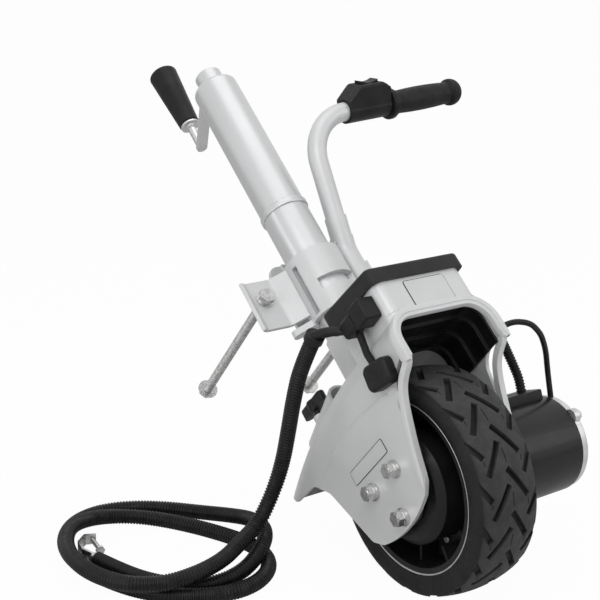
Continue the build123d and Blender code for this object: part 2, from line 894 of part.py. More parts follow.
with BuildPart() as crank_grip:
    with BuildSketch(Plane(origin=(pin_x, pin_y, 0), x_dir=(1, 0, 0), z_dir=(0, -1, 0))):
        with BuildLine():
            Line((0, grip_low), (grip_narrow - 1.5, grip_low))
            Line((grip_narrow - 1.5, grip_low), (grip_narrow, grip_low + 2))
            Line((grip_narrow, grip_low + 2), (grip_wide, grip_top - 7))
            ThreePointArc(
                (grip_wide, grip_top - 7), (grip_wide - 1.2, grip_top - 4), (grip_wide - 4, grip_top - 2.4)
            )
            ThreePointArc((grip_wide - 4, grip_top - 2.4), (11.5, grip_top - 0.8), (6, grip_top))
            Polyline((6, grip_top), (0, grip_top), (0, grip_low))
        make_face()
    revolve(axis=Axis((pin_x, pin_y, 0), (0, 0, 1)))
    with BuildSketch(level(grip_low)):
        with Locations((pin_x, pin_y)):
            Circle(pin_radius + run_gap)
    extrude(amount=grip_length - 11, mode=Mode.SUBTRACT)
hand_over(crank_grip, "crank_grip")

# Clamp sleeve round the outer tube, with a slit each side, a window and a small tongue below
sleeve_inner = outer_radius + sleeve_gap
sleeve_outer = sleeve_inner + sleeve_wall
with BuildPart() as clamp_sleeve:
    with BuildSketch(level(sleeve_low)):
        Circle(sleeve_outer)
    extrude(amount=sleeve_high - sleeve_low)
    with BuildSketch(level(sleeve_low - 4)):
        with Locations((-19, -44)):
            SlotOverall(34, 14, rotation=47)
    extrude(amount=8)
    with BuildSketch(level(sleeve_low - 5)):
        Circle(sleeve_inner)
    extrude(amount=sleeve_high - sleeve_low + 5, mode=Mode.SUBTRACT)
    for turn in (-slit_angle, slit_angle):
        with BuildSketch(level(sleeve_low + 4).rotated((0, 0, turn))):
            with Locations((sleeve_inner + sleeve_wall / 2, 0)):
                Rectangle(sleeve_wall + 6, slit_width)
        extrude(amount=sleeve_high - sleeve_low - 15, mode=Mode.SUBTRACT)
    with BuildSketch(level(window_low)):
        with BuildLine():
            Polyline((0, 0), polar(70, -45), polar(85, 0), polar(70, 45), close=True)
        make_face()
    extrude(amount=window_high - window_low, mode=Mode.SUBTRACT)
hand_over(clamp_sleeve, "clamp_sleeve")

# Curved saddle wings welded to the sleeve's sides, with a hole each for the long bolts
with BuildPart() as saddle_wings:
    for out in (-1, 1):
        with BuildSketch(level(wing_low)):
            with BuildLine():
                FilletPolyline(
                    (-6, out * (sleeve_outer - 4)),
                    (wing_x, out * (clamp_bolt_y - 20)),
                    (wing_x, out * (clamp_bolt_y + 17)),
                    (wing_x + 5, out * wing_reach),
                    radius=10,
                )
            trace(line_width=wing_thick)
            Circle(sleeve_outer, mode=Mode.SUBTRACT)
        extrude(amount=wing_high - wing_low)
    for bolt_y, bolt_z in ((-clamp_bolt_y, left_bolt_z), (clamp_bolt_y, right_bolt_z)):
        with BuildSketch(front(-40)):
            with Locations((bolt_y, bolt_z)):
                Circle(clamp_bolt_radius + run_gap)
        extrude(amount=40, mode=Mode.SUBTRACT)
hand_over(saddle_wings, "saddle_wings")

# Backing plate, whose rear face bears on the drawbar
with BuildPart() as backing_plate:
    with BuildSketch(front(face_x)):
        with Locations((0, (backing_low + backing_high) / 2)):
            RectangleRounded(2 * backing_half, backing_high - backing_low, backing_round)
    extrude(amount=backing_thick + 4)
    with BuildSketch(level(backing_low)):
        Circle(sleeve_outer)
    extrude(amount=backing_high - backing_low, mode=Mode.SUBTRACT)
    with BuildSketch(front(backing_x)):
        with Locations((0, (backing_low + backing_high) / 2)):
            Rectangle(2 * backing_half, backing_high - backing_low)
            Rectangle(34, backing_high - backing_low, mode=Mode.SUBTRACT)
    extrude(amount=10, mode=Mode.SUBTRACT)
hand_over(backing_plate, "backing_plate")

# Long clamp bolts along -X, their washers on the wings and flange nuts near their ends
wing_front = wing_x + wing_thick / 2
bolt_seat = wing_front + washer_thick + clamp_spring_thick
bolt_spots = ((-clamp_bolt_y, left_bolt_z), (clamp_bolt_y, right_bolt_z))
with BuildPart() as clamp_bolts:
    with BuildSketch(front(bolt_seat)):
        with Locations(*bolt_spots):
            RegularPolygon(clamp_head_across / 2, 6, major_radius=False)
    extrude(amount=clamp_head_height)
    with BuildSketch(front(bolt_seat)):
        with Locations(*bolt_spots):
            Circle(clamp_bolt_radius)
    extrude(amount=clamp_bolt_end - bolt_seat)
hand_over(clamp_bolts, "clamp_bolts")

with BuildPart() as clamp_washers:
    with BuildSketch(front(wing_front)):
        with Locations(*bolt_spots):
            Circle(11.5)
    extrude(amount=washer_thick)
    with BuildSketch(front(wing_front + washer_thick)):
        with Locations(*bolt_spots):
            Circle(9.5)
    extrude(amount=clamp_spring_thick)
    with BuildSketch(front(wing_front)):
        with Locations(*bolt_spots):
            Circle(clamp_bolt_radius + run_gap)
    extrude(amount=washer_thick + clamp_spring_thick, mode=Mode.SUBTRACT)
hand_over(clamp_washers, "clamp_washers")

with BuildPart() as flange_nuts:
    with BuildSketch(front(flange_nut_x)):
        with Locations(*bolt_spots):
            Circle(13)
    extrude(amount=-2.5)
    with BuildSketch(front(flange_nut_x)):
        with Locations(*bolt_spots):
            RegularPolygon(clamp_head_across / 2, 6, major_radius=False)
    extrude(amount=clamp_bolt_end + 1 - flange_nut_x)
    with BuildSketch(front(flange_nut_x)):
        with Locations(*bolt_spots):
            Circle(clamp_bolt_radius + run_gap)
    extrude(amount=-30, mode=Mode.SUBTRACT)
hand_over(flange_nuts, "flange_nuts")

# Sockets that take the tiller: one upright beside the neck, one behind it on the fender
rear_tilt = 15
rear_x = -117.5
rear_socket = Plane(
    origin=(rear_x, 0, fender_point(rear_x)[1] + (tiller_radius + socket_wall) / cos(radians(rear_tilt)) + 1),
    x_dir=(0, 1, 0),
    z_dir=(-cos(radians(rear_tilt)), 0, -sin(radians(rear_tilt))),
)
rear_length = 90
socket_bore = tiller_radius + 0.1
knob_x = -136
boss_height = 20
screw_tip = 13
with BuildPart() as tiller_sockets:
    with BuildSketch(level(socket_low)):
        with Locations((tiller_x, tiller_y)):
            Circle(tiller_radius + socket_wall)
    extrude(amount=socket_high - socket_low)
    with BuildSketch(level(fender_top - 14)):
        with Locations((tiller_x, (neck_radius + tiller_y) / 2)):
            Rectangle(20, tiller_y - neck_radius + 12)
    extrude(amount=neck_top - fender_top)
    with BuildSketch(rear_socket.offset(-rear_length / 2)):
        Circle(tiller_radius + socket_wall)
    extrude(amount=rear_length)
    with BuildSketch(level(100)):
        with Locations((rear_x, 0)):
            Rectangle(70, 24)
    extrude(amount=rear_socket.origin.Z - 100)
    with BuildSketch(level(rear_socket.origin.Z - 20)):
        with Locations((knob_x, 0)):
            Circle(9)
    extrude(amount=20 + boss_height)
    with BuildSketch(rear_socket.offset(-rear_length)):
        Circle(socket_bore)
    extrude(amount=2 * rear_length, mode=Mode.SUBTRACT)
    with BuildSketch(level(tiller_low)):
        with Locations((tiller_x, tiller_y)):
            Circle(socket_bore)
    extrude(amount=socket_high - tiller_low, mode=Mode.SUBTRACT)
    with BuildSketch(level(rear_socket.origin.Z - 20)):
        with Locations((knob_x, 0)):
            Circle(4 + run_gap)
    extrude(amount=60, mode=Mode.SUBTRACT)
    with BuildSketch(level(fender_top - 20)):
        Circle(neck_radius)
    extrude(amount=neck_top, mode=Mode.SUBTRACT)
    add(housing_block.part, mode=Mode.SUBTRACT)
hand_over(tiller_sockets, "tiller_sockets")

# Wing screw that holds a tiller in the rear socket
boss_top = rear_socket.origin.Z + boss_height
with BuildPart() as wing_screw:
    with BuildSketch(level(rear_socket.origin.Z + screw_tip)):
        with Locations((knob_x, 0)):
            Circle(4)
    extrude(amount=boss_height - screw_tip + 14)
    with BuildSketch(level(boss_top + 8)):
        with Locations((knob_x, 0)):
            Circle(9)
            SlotOverall(56, 12)
    extrude(amount=15)
    fillet(wing_screw.edges().group_by(Axis.Z)[-1], 3)
hand_over(wing_screw, "wing_screw")

# Tiller: a leg with an elbow, a ferrule and a bent upper tube
tiller_corner = (tiller_x, tiller_y, elbow_z)
lean_dir = (sin(radians(tiller_lean)), 0, cos(radians(tiller_lean)))
lean_plane = Plane(
    origin=tiller_corner,
    x_dir=(cos(radians(tiller_lean)), 0, -sin(radians(tiller_lean))),
    z_dir=lean_dir,
)
button_at = 11.5
button_turn = -75
button_radius = 2.2


def on_lean(distance):
    """A point of the tiller's leaning axis at a distance from its elbow."""
    return tuple(start + distance * step for start, step in zip(tiller_corner, lean_dir))


button_plane = Plane(
    origin=on_lean(button_at),
    x_dir=lean_dir,
    z_dir=tuple(
        cos(radians(button_turn)) * ahead + sin(radians(button_turn)) * across
        for ahead, across in zip((lean_plane.x_dir.X, lean_plane.x_dir.Y, lean_plane.x_dir.Z), (0, 1, 0))
    ),
)
with BuildPart() as tiller_leg:
    with BuildLine() as leg_line:
        FilletPolyline(
            (tiller_x, tiller_y, tiller_low), tiller_corner, on_lean(ferrule_from), radius=45
        )
    with BuildSketch(level(tiller_low)):
        with Locations((tiller_x, tiller_y)):
            Circle(tiller_radius)
            Circle(tiller_radius - tiller_wall, mode=Mode.SUBTRACT)
    sweep(path=leg_line.line)
    with BuildSketch(button_plane):
        Circle(button_radius + 0.1)
    extrude(amount=tiller_radius + 4, mode=Mode.SUBTRACT)
hand_over(tiller_leg, "tiller_leg")

upper_outer = tiller_radius - tiller_wall - run_gap
with BuildPart() as tiller_ferrule:
    with BuildSketch(lean_plane.offset(ferrule_from)):
        Circle(tiller_radius - 1)
        Circle(upper_outer + run_gap, mode=Mode.SUBTRACT)
    extrude(amount=ferrule_length)
hand_over(tiller_ferrule, "tiller_ferrule")

bend_x = tiller_x + (bend_z - elbow_z) * tan(radians(tiller_lean))
bar_turn = (
    Location((bend_x, tiller_y, bend_z))
    * Location((0, 0, 0), (0, lean, 0))
    * Location((0, 0, 0), (bar_rise, 0, 0))
    * Location((-bend_x, -tiller_y, -bend_z))
)
grip_axis = (bend_x, 0, bend_z)
with BuildPart() as tiller_tube:
    with BuildLine() as tube_line:
        FilletPolyline(
            on_lean(upper_from),
            (bend_x, tiller_y, bend_z),
            (bar_turn * Location((bend_x, grip_to, bend_z))).position,
            radius=bend_radius,
        )
    with BuildSketch(lean_plane.offset(upper_from)):
        Circle(upper_outer)
        Circle(upper_outer - 2, mode=Mode.SUBTRACT)
    sweep(path=tube_line.line)
    with BuildSketch(button_plane):
        Circle(button_radius + 0.1)
    extrude(amount=tiller_radius + 4, mode=Mode.SUBTRACT)
hand_over(tiller_tube, "tiller_tube")

with BuildPart() as snap_button:
    with BuildSketch(button_plane.offset(upper_outer - 6)):
        Circle(button_radius)
    extrude(amount=tiller_radius + 2 - upper_outer + 6)
    fillet(snap_button.faces().sort_by_distance(button_plane.offset(tiller_radius + 2).origin)[0].edges(), 1)
hand_over(snap_button, "snap_button")

# Switch housing, thumb rocker, collar and rubber grip, made level and then turned with the handlebar
housing_wide = 32
housing_high = bend_z + 33
rocker_y = 154
pivot_z = housing_high - 5
with BuildPart() as switch_housing:
    with BuildSketch(side(housing_from)):
        with Locations((bend_x, bend_z)):
            Circle(housing_wide / 2)
    extrude(amount=housing_from - housing_to)
    with BuildSketch(front(bend_x)):
        with BuildLine():
            Polyline(
                (housing_from, bend_z),
                (housing_from, housing_high - 19),
                (housing_from + 20, housing_high),
                (housing_to - 11, housing_high),
                (housing_to, housing_high - 8),
                (housing_to, bend_z),
                close=True,
            )
        make_face()
    extrude(amount=housing_wide / 2 - 0.5, both=True)
    top_face = switch_housing.faces().sort_by(Axis.Z)[-1]
    fillet(top_face.edges().filter_by(Axis.Y), 4)
    with BuildSketch(side(housing_from)):
        with Locations((bend_x, bend_z)):
            Circle(upper_outer + run_gap)
    extrude(amount=housing_from - housing_to, mode=Mode.SUBTRACT)
    with BuildSketch(level(housing_high - 9)):
        with Locations((bend_x, rocker_y)):
            RectangleRounded(17, 32, 3)
    extrude(amount=20, mode=Mode.SUBTRACT)
hand_over(switch_housing, "switch_housing", bar_turn)

with BuildPart() as thumb_rocker:
    with BuildSketch(Plane(origin=(bend_x - 8, 0, 0), x_dir=(0, 1, 0), z_dir=(1, 0, 0))):
        with BuildLine():
            Polyline(
                (rocker_y - 13, housing_high + 4),
                (rocker_y - 13, housing_high - 3),
                (rocker_y, housing_high - 6),
                (rocker_y + 13, housing_high - 3),
                (rocker_y + 13, housing_high + 4),
            )
            ThreePointArc(
                (rocker_y + 13, housing_high + 4),
                (rocker_y, housing_high + 1),
                (rocker_y - 13, housing_high + 4),
            )
        make_face()
    extrude(amount=16)
    with BuildSketch(Plane(origin=(bend_x - 8.3, rocker_y, pivot_z), x_dir=(0, 1, 0), z_dir=(1, 0, 0))):
        Circle(2.4)
    extrude(amount=16.6)
hand_over(thumb_rocker, "thumb_rocker", bar_turn)

with BuildPart() as grip_collar:
    with BuildSketch(side(collar_from)):
        with Locations((bend_x, bend_z)):
            Circle(21)
    extrude(amount=-8)
    fillet(grip_collar.edges(), 2)
    with BuildSketch(side(collar_from)):
        with Locations((bend_x, bend_z)):
            Circle(17)
    extrude(amount=collar_from - collar_to)
    with BuildSketch(side(collar_from)):
        with Locations((bend_x, bend_z)):
            Circle(upper_outer + run_gap)
    extrude(amount=collar_from - collar_to, mode=Mode.SUBTRACT)
hand_over(grip_collar, "grip_collar", bar_turn)

with BuildPart() as tiller_grip:
    with BuildSketch(Plane(origin=grip_axis, x_dir=(0, 0, 1), z_dir=(1, 0, 0))):
        with BuildLine():
            Line((0, -collar_to), (15, -collar_to))
            ThreePointArc((15, -collar_to), (16.5, -collar_to - 45), (14.5, -collar_to - 92))
            Line((14.5, -collar_to - 92), (18, -collar_to - 95))
            ThreePointArc(
                (18, -collar_to - 95), (18, -collar_to - 102), (12, -tiller_end_y + 3)
            )
            Polyline(
                (12, -tiller_end_y + 3), (7, -tiller_end_y), (0, -tiller_end_y), (0, -collar_to)
            )
        make_face()
    revolve(axis=Axis(grip_axis, (0, 1, 0)))
    with BuildSketch(side(collar_to)):
        with Locations((bend_x, bend_z)):
            Circle(upper_outer + run_gap)
    extrude(amount=collar_to - grip_to, mode=Mode.SUBTRACT)
hand_over(tiller_grip, "tiller_grip", bar_turn)

# Motor: can with magnets, armature on its shaft, brush holder and end cap
motor_inner = motor_radius - motor_wall
can_floor = 5
with BuildPart() as motor_can:
    with BuildSketch(side(right_face)):
        Circle(motor_radius)
    extrude(amount=right_face - motor_end)
    with BuildSketch(side(right_face + can_floor)):
        Circle(motor_inner)
    extrude(amount=right_face + can_floor - motor_end, mode=Mode.SUBTRACT)
    with BuildSketch(side(right_face)):
        Circle(shaft_bore)
    extrude(amount=-can_floor, mode=Mode.SUBTRACT)
hand_over(motor_can, "motor_can")

armature_from = right_face + can_floor + 15
magnet_inner = motor_inner - magnet_thick
armature_radius = magnet_inner - air_gap
with BuildPart() as motor_magnets:
    with BuildSketch(side(armature_from - 4)):
        for index in range(magnet_count):
            magnet_middle = (index + 0.5) * 360 / magnet_count
            start_angle = magnet_middle - magnet_span / 2
            end_angle = magnet_middle + magnet_span / 2
            with BuildLine():
                Line(polar(magnet_inner, start_angle), polar(motor_inner, start_angle))
                ThreePointArc(
                    polar(motor_inner, start_angle),
                    polar(motor_inner, magnet_middle),
                    polar(motor_inner, end_angle),
                )
                Line(polar(motor_inner, end_angle), polar(magnet_inner, end_angle))
                ThreePointArc(
                    polar(magnet_inner, end_angle),
                    polar(magnet_inner, magnet_middle),
                    polar(magnet_inner, start_angle),
                )
            make_face()
    extrude(amount=-armature_length - 8)
hand_over(motor_magnets, "motor_magnets")

commutator_from = armature_from + armature_length + 12
commutator_radius = 18
with BuildPart() as armature:
    for start, length, radius in (
        (armature_from - 8, 8, 0.7 * armature_radius),
        (armature_from, armature_length, armature_radius),
        (armature_from + armature_length, 12, 0.7 * armature_radius),
        (commutator_from, 12, commutator_radius),
    ):
        with BuildSketch(side(start)):
            Circle(radius)
        extrude(amount=-length)
    with BuildSketch(side(gear_low)):
        Circle(shaft_radius)
    extrude(amount=gear_low - motor_end - 4)
    with BuildSketch(side(gear_low)):
        with BuildLine():
            Polyline(
                *tooth_outline(sun_teeth, sun_pitch - dedendum, sun_pitch + addendum, 0), close=True
            )
        make_face()
    extrude(amount=-gear_face)
hand_over(armature, "armature")

brush_y = commutator_from + 1
with BuildPart() as brush_holder:
    with BuildSketch(side(brush_y)):
        Circle(motor_inner)
        Circle(commutator_radius + 6, mode=Mode.SUBTRACT)
    extrude(amount=-3)
    with BuildSketch(side(brush_y + 3)):
        with PolarLocations(commutator_radius + seat_gap + 12, 2):
            Rectangle(24, 9)
    extrude(amount=-6)
hand_over(brush_holder, "brush_holder")

lug_angles = (4, 184)
lug_circle = motor_radius - 3
with BuildPart() as motor_end_cap:
    with BuildSketch(side(motor_end)):
        Circle(motor_radius - 1.5)
        with Locations(*[polar(lug_circle, angle) for angle in lug_angles]):
            Circle(9)
    extrude(amount=-cap_thick)
    fillet(motor_end_cap.edges().group_by(Axis.Y)[-1], 3)
    with BuildSketch(side(motor_end)):
        Circle(shaft_radius + run_gap)
    extrude(amount=-6, mode=Mode.SUBTRACT)
    with BuildSketch(side(motor_end)):
        with Locations(*[polar(lug_circle, angle) for angle in lug_angles]):
            Circle(3 + run_gap)
    extrude(amount=-cap_thick, mode=Mode.SUBTRACT)
hand_over(motor_end_cap, "motor_end_cap")

# Case screws: the four of the lid, and two in the motor's end cap
with BuildPart() as motor_screws:
    add(case_screws.part)
    with BuildSketch(side(motor_end)):
        with Locations(*[polar(lug_circle, angle) for angle in lug_angles]):
            Circle(3)
    extrude(amount=-cap_thick)
    with BuildSketch(side(motor_end + cap_thick)):
        with Locations(*[polar(lug_circle, angle) for angle in lug_angles]):
            RegularPolygon(5, 6, major_radius=False)
    extrude(amount=-4)
hand_over(motor_screws, "case_screws")

# Cover over the motor's terminals, curved to sit on the can
cover_x, cover_z = polar(motor_radius + cover_height, cover_angle)
cover_normal = (cos(radians(cover_angle)), 0, sin(radians(cover_angle)))
with BuildPart() as terminal_cover:
    cover_plane = Plane(origin=(cover_x, cover_start, cover_z), x_dir=(0, 1, 0), z_dir=cover_normal)
    with BuildSketch(cover_plane):
        with Locations((cover_length / 2, 0)):
            RectangleRounded(cover_length, cover_width, 6)
    extrude(amount=-cover_height - 8)
    fillet(terminal_cover.faces().sort_by_distance(cover_plane.origin)[0].edges(), 2)
    with BuildSketch(side(right_face)):
        Circle(motor_radius)
    extrude(amount=right_face - motor_end, mode=Mode.SUBTRACT)
hand_over(terminal_cover, "terminal_cover")


def cord_radii(points):
    """Arc radius at each corner of a cord's route: as large as its two runs allow."""
    corners = [Vector(point) for point in points]
    radii = []
    for before, corner, after in zip(corners, corners[1:], corners[2:]):
        run_in, run_out = corner - before, after - corner
        half_turn = radians(run_in.get_angle(run_out) / 2)
        radii.append(0.45 * min(run_in.length, run_out.length) / tan(half_turn))
    return radii


def cord_path(points, name):
    """Tangent arcs and runs through a cord's route, with its length and tightest arc printed."""
    radii = cord_radii(points)
    path = FilletPolyline(*points, radius=radii, mode=Mode.PRIVATE)
    print(f"{name}: length {path.length:.1f}, tightest radius {min(radii):.1f}")
    print("  radii", [round(radius) for radius in radii])
    return path


def ribbed_tube(path, radius, depth, pitch):
    """A ribbed hose along a path: a ruled loft through four circles for each rib."""
    ribs = max(2, int(path.length / pitch))
    step = 1 / ribs
    with BuildPart() as hose:
        sections = []
        for rib in range(ribs):
            for share, rib_radius in (
                (0.0, radius - depth), (0.3, radius - depth), (0.5, radius), (0.8, radius),
            ):
                sections.append(((rib + share) * step, rib_radius))
        sections.append((1.0, radius - depth))
        for place, rib_radius in sections:
            spot = path @ place
            heading = path % place
            with BuildSketch(Plane(origin=spot, x_dir=rib_axis(heading), z_dir=heading)):
                Circle(rib_radius)
        loft(ruled=True)
    return hose


def rib_axis(heading):
    """A steady X axis for a hose's circles: the frame's X made square to the heading."""
    ahead = Vector(1, 0, 0)
    return (ahead - heading * heading.dot(ahead)).normalized()


# Ribbed conduit from the terminal cover to the box, and the thin cable from its clip to the end cap
conduit_start = (cover_x, cover_start + cover_length - 18, cover_z)
conduit_rise = tuple(place + 18 * step for place, step in zip(conduit_start, cover_normal))
conduit_path = cord_path(
    [
        conduit_start, conduit_rise, (56, 152, 103), (76, 136, 130), (93, 116, 155),
        (100, box_right + 22, 169), (100, box_right, 169),
    ],
    "motor_conduit",
)
motor_conduit = ribbed_tube(conduit_path, 6, 0.9, 3.6)
hand_over(motor_conduit, "motor_conduit")

clip_x, clip_z, clip_thick = 114, 110, 8
cap_point = polar(motor_radius - 1.5, 45)
cable_path = cord_path(
    [
        (clip_x, right_face + clip_thick, clip_z), (115, 101, 111), (126, 117, 110), (128, 137, 102),
        (114, 157, 92), (90, 175, 81), (63, 187, 66), (cap_point[0], 190.5, cap_point[1]),
    ],
    "motor_cable",
)
with BuildPart() as motor_cable:
    with BuildSketch(side(right_face + clip_thick)):
        with Locations((clip_x, clip_z)):
            Circle(3.5)
    sweep(path=cable_path)
    with BuildSketch(side(motor_end)):
        Circle(motor_radius - 1.5)
    extrude(amount=-cap_thick, mode=Mode.SUBTRACT)
hand_over(motor_cable, "motor_cable")

with BuildPart() as cable_clip:
    with BuildSketch(side(right_face)):
        with Locations((clip_x, clip_z)):
            RectangleRounded(15, 13, 4)
    extrude(amount=-clip_thick)
hand_over(cable_clip, "cable_clip")

# Socket on the box, the plug of the lead in it, and the cap and strap that hang from the socket
socket_from, socket_to, plug_from = 104, 130, 76
socket_z_low, socket_z_high = 153, 181
with BuildPart() as power_socket:
    with BuildSketch(side(box_left)):
        with Locations(((socket_from + socket_to) / 2 - 2, (socket_z_low + socket_z_high) / 2)):
            RectangleRounded(socket_to - socket_from, socket_z_high - socket_z_low, 4)
    extrude(amount=22)
    fillet(power_socket.faces().sort_by(Axis.Y)[0].edges(), 3)
hand_over(power_socket, "power_socket")

with BuildPart() as lead_plug:
    with BuildSketch(front(plug_from)):
        with Locations((box_left - 12, (socket_z_low + socket_z_high) / 2 + 1)):
            RectangleRounded(20, 22, 5)
    extrude(amount=socket_from - 2 - plug_from)
    fillet(lead_plug.faces().sort_by(Axis.X)[0].edges(), 4)
hand_over(lead_plug, "lead_plug")


def in_row(point):
    """A point of the lead's route, whose height is counted from the floor."""
    return (point[0], point[1], floor_z + point[2])


drop_points = [in_row(point) for point in lead_drop_route]
coil_points = [in_row(point) for point in lead_coil_route]
back = stance.inverse()
lead_start = (back * Location(drop_points[0])).position
lead_heading = (lead_start - (back * Location(drop_points[1])).position).normalized()
sheath_root = Vector(plug_from, box_left - 13, 170)
collar_point = lead_start + lead_heading * 8
with BuildPart() as lead_sheath:
    with BuildSketch(Plane(origin=sheath_root, x_dir=(0, 1, 0), z_dir=(1, 0, 0))):
        Circle(6)
    with BuildSketch(
        Plane(
            origin=sheath_root * 0.5 + collar_point * 0.5 + Vector(0, -1, 2),
            x_dir=(0, 1, 0),
            z_dir=(1, 0.3, -0.1),
        )
    ):
        Circle(6.3)
    with BuildSketch(Plane(origin=collar_point, x_dir=(0, 1, 0), z_dir=lead_heading)):
        Circle(7.5)
    loft()
    with BuildSketch(Plane(origin=lead_start, x_dir=(0, 1, 0), z_dir=lead_heading)):
        Circle(lead_radius + 2)
    extrude(amount=9)
hand_over(lead_sheath, "lead_sheath")

with BuildPart() as dust_cap:
    with BuildSketch(side(left_face)):
        with Locations((92, 101)):
            RectangleRounded(45, 31, 9, rotation=-12)
    extrude(amount=13)
    fillet(dust_cap.faces().sort_by(Axis.Y)[0].edges(), 4)
    with BuildSketch(side(left_face)):
        with BuildLine():
            Polyline((87, 108), (85, 132), (91, 156))
        trace(line_width=9)
    extrude(amount=4)
    with BuildSketch(front(plug_from)):
        with Locations((box_left - 12, (socket_z_low + socket_z_high) / 2 + 1)):
            RectangleRounded(20, 22, 5)
    extrude(amount=socket_from - plug_from, mode=Mode.SUBTRACT)
hand_over(dust_cap, "dust_cap")

# The lead: a ribbed stretch that hangs from its sheath, then a coil on the floor
drop_path = cord_path(drop_points, "lead_drop")
lead_drop = ribbed_tube(drop_path, lead_radius, rib_depth, rib_pitch)
lead_drop.part.label = "lead_drop"
export_step(lead_drop.part, "parts/lead_drop.step")

coil_path = cord_path(coil_points, "lead_coil")
with BuildPart() as lead_coil:
    with BuildSketch(Plane(origin=coil_path @ 0, z_dir=coil_path % 0)):
        Circle(lead_radius)
    sweep(path=coil_path)
lead_coil.part.label = "lead_coil"
export_step(lead_coil.part, "parts/lead_coil.step")
print("lead_coil volume over section times length", lead_coil.part.volume / (pi * lead_radius**2 * coil_path.length))

# Least gap of the coil to itself, measured on points along it
samples = [coil_path @ (index / 400) for index in range(401)]
spacing = coil_path.length / 400
apart = int(60 / spacing)
least = min(
    (samples[first] - samples[second]).length
    for first in range(401)
    for second in range(first + apart, 401)
)
print("lead_coil least gap to itself", round(least - 2 * lead_radius, 2))

# Terminal: a bent strap with its bolt on the lead's far end
end_point = Vector(coil_points[-1])
terminal_low = floor_z + 3
strap_root = end_point + (coil_path % 1) * 4
strap_line = [
    (strap_root.X, strap_root.Y), (-56, -304), (-76, -300), (-88, -286), (-82, -274),
]
with BuildPart() as lead_terminal:
    with BuildSketch(Plane.XY.offset(terminal_low)):
        with BuildLine():
            Polyline(*strap_line)
        trace(line_width=3)
    extrude(amount=13)
    with BuildSketch(Plane(origin=end_point, z_dir=coil_path % 1)):
        Circle(7)
    extrude(amount=6)

bolt_plane = Plane(origin=(-83, -279, floor_z + 9.5), z_dir=(1, -0.15, 0))
with BuildPart() as terminal_bolt:
    add(lead_terminal.part)
    with BuildSketch(bolt_plane.offset(2)):
        Circle(3)
    extrude(amount=28)
    with BuildSketch(bolt_plane.offset(30)):
        RegularPolygon(5, 6, major_radius=False)
    extrude(amount=4)
terminal_bolt.part.label = "lead_terminal"
export_step(terminal_bolt.part, "parts/lead_terminal.step")
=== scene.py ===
"""Looks of the motorised jockey wheel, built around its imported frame.

Blender works in metres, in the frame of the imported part. The trim's outlines are in the device's own
millimetres: origin at the wheel's centre, X to the front, Y along the axle towards the motor, Z up along
the jack tube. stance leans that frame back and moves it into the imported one.
"""
import json
import math

import bmesh
import bpy
from mathutils import Matrix, Vector


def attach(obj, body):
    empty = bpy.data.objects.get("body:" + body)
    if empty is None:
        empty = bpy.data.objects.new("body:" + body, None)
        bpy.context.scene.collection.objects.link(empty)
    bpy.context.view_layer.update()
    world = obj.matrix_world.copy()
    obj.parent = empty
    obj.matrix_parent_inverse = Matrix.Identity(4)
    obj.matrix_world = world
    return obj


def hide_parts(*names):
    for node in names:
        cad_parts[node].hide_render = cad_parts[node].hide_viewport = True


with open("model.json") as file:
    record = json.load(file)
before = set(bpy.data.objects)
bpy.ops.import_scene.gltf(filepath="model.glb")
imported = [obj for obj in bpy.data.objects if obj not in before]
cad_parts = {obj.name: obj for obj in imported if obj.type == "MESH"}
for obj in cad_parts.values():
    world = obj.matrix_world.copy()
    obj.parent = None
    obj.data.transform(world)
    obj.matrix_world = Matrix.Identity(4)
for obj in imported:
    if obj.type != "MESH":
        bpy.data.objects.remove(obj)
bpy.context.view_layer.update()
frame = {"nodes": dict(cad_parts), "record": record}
cad = frame["nodes"]

# Where the device stands: its lean, its shift in millimetres, the floor and the wheel's centre
LEAN = math.radians(48.75)
DEVICE_SHIFT = (43, 0, -265)
stance = (
    Matrix.Scale(0.001, 4) @ Matrix.Rotation(-LEAN, 4, "Y") @ Matrix.Translation(DEVICE_SHIFT)
)
FLOOR = -0.27241
WHEEL = Vector((0.22758, 0, -0.14241))

# Camera
PICTURE_WIDE = 600
FOCAL_PIXELS = 1279.9
SENSOR = 36
CAMERA_PLACE = (1.23175, -0.90700, 0.45755)
CAMERA_HEADING = (-0.78063, 0.56028, -0.27696)
camera = bpy.data.objects.new("camera", bpy.data.cameras.new("camera"))
bpy.context.collection.objects.link(camera)
camera.data.sensor_width = SENSOR
camera.data.lens = FOCAL_PIXELS / PICTURE_WIDE * SENSOR
camera.data.clip_end = 200
camera.location = CAMERA_PLACE
camera.rotation_euler = Vector(CAMERA_HEADING).to_track_quat("-Z", "Y").to_euler()
bpy.context.scene.camera = camera

# Floor
FLOOR_HALF = 60
FLOOR_GAP = 0.0003
FLOOR_WHITENESS = 0.97


def floor_finish():
    """Matte white that the camera sees nearly as plain white, with a trace of the shadows on it."""
    material = bpy.data.materials.new("floor_white")
    material.use_nodes = True
    nodes, links = material.node_tree.nodes, material.node_tree.links
    matte = nodes["Principled BSDF"]
    matte.inputs["Base Color"].default_value = (0.93, 0.93, 0.93, 1)
    matte.inputs["Roughness"].default_value = 0.9
    matte.inputs["Specular IOR Level"].default_value = 0.1
    plain = nodes.new("ShaderNodeEmission")
    plain.inputs["Color"].default_value = (1, 1, 1, 1)
    blend = nodes.new("ShaderNodeMixShader")
    seen = nodes.new("ShaderNodeLightPath")
    share = nodes.new("ShaderNodeMath")
    share.operation = "MULTIPLY"
    share.inputs[1].default_value = FLOOR_WHITENESS
    links.new(seen.outputs["Is Camera Ray"], share.inputs[0])
    links.new(share.outputs[0], blend.inputs["Fac"])
    links.new(matte.outputs[0], blend.inputs[1])
    links.new(plain.outputs[0], blend.inputs[2])
    links.new(blend.outputs[0], nodes["Material Output"].inputs["Surface"])
    return material


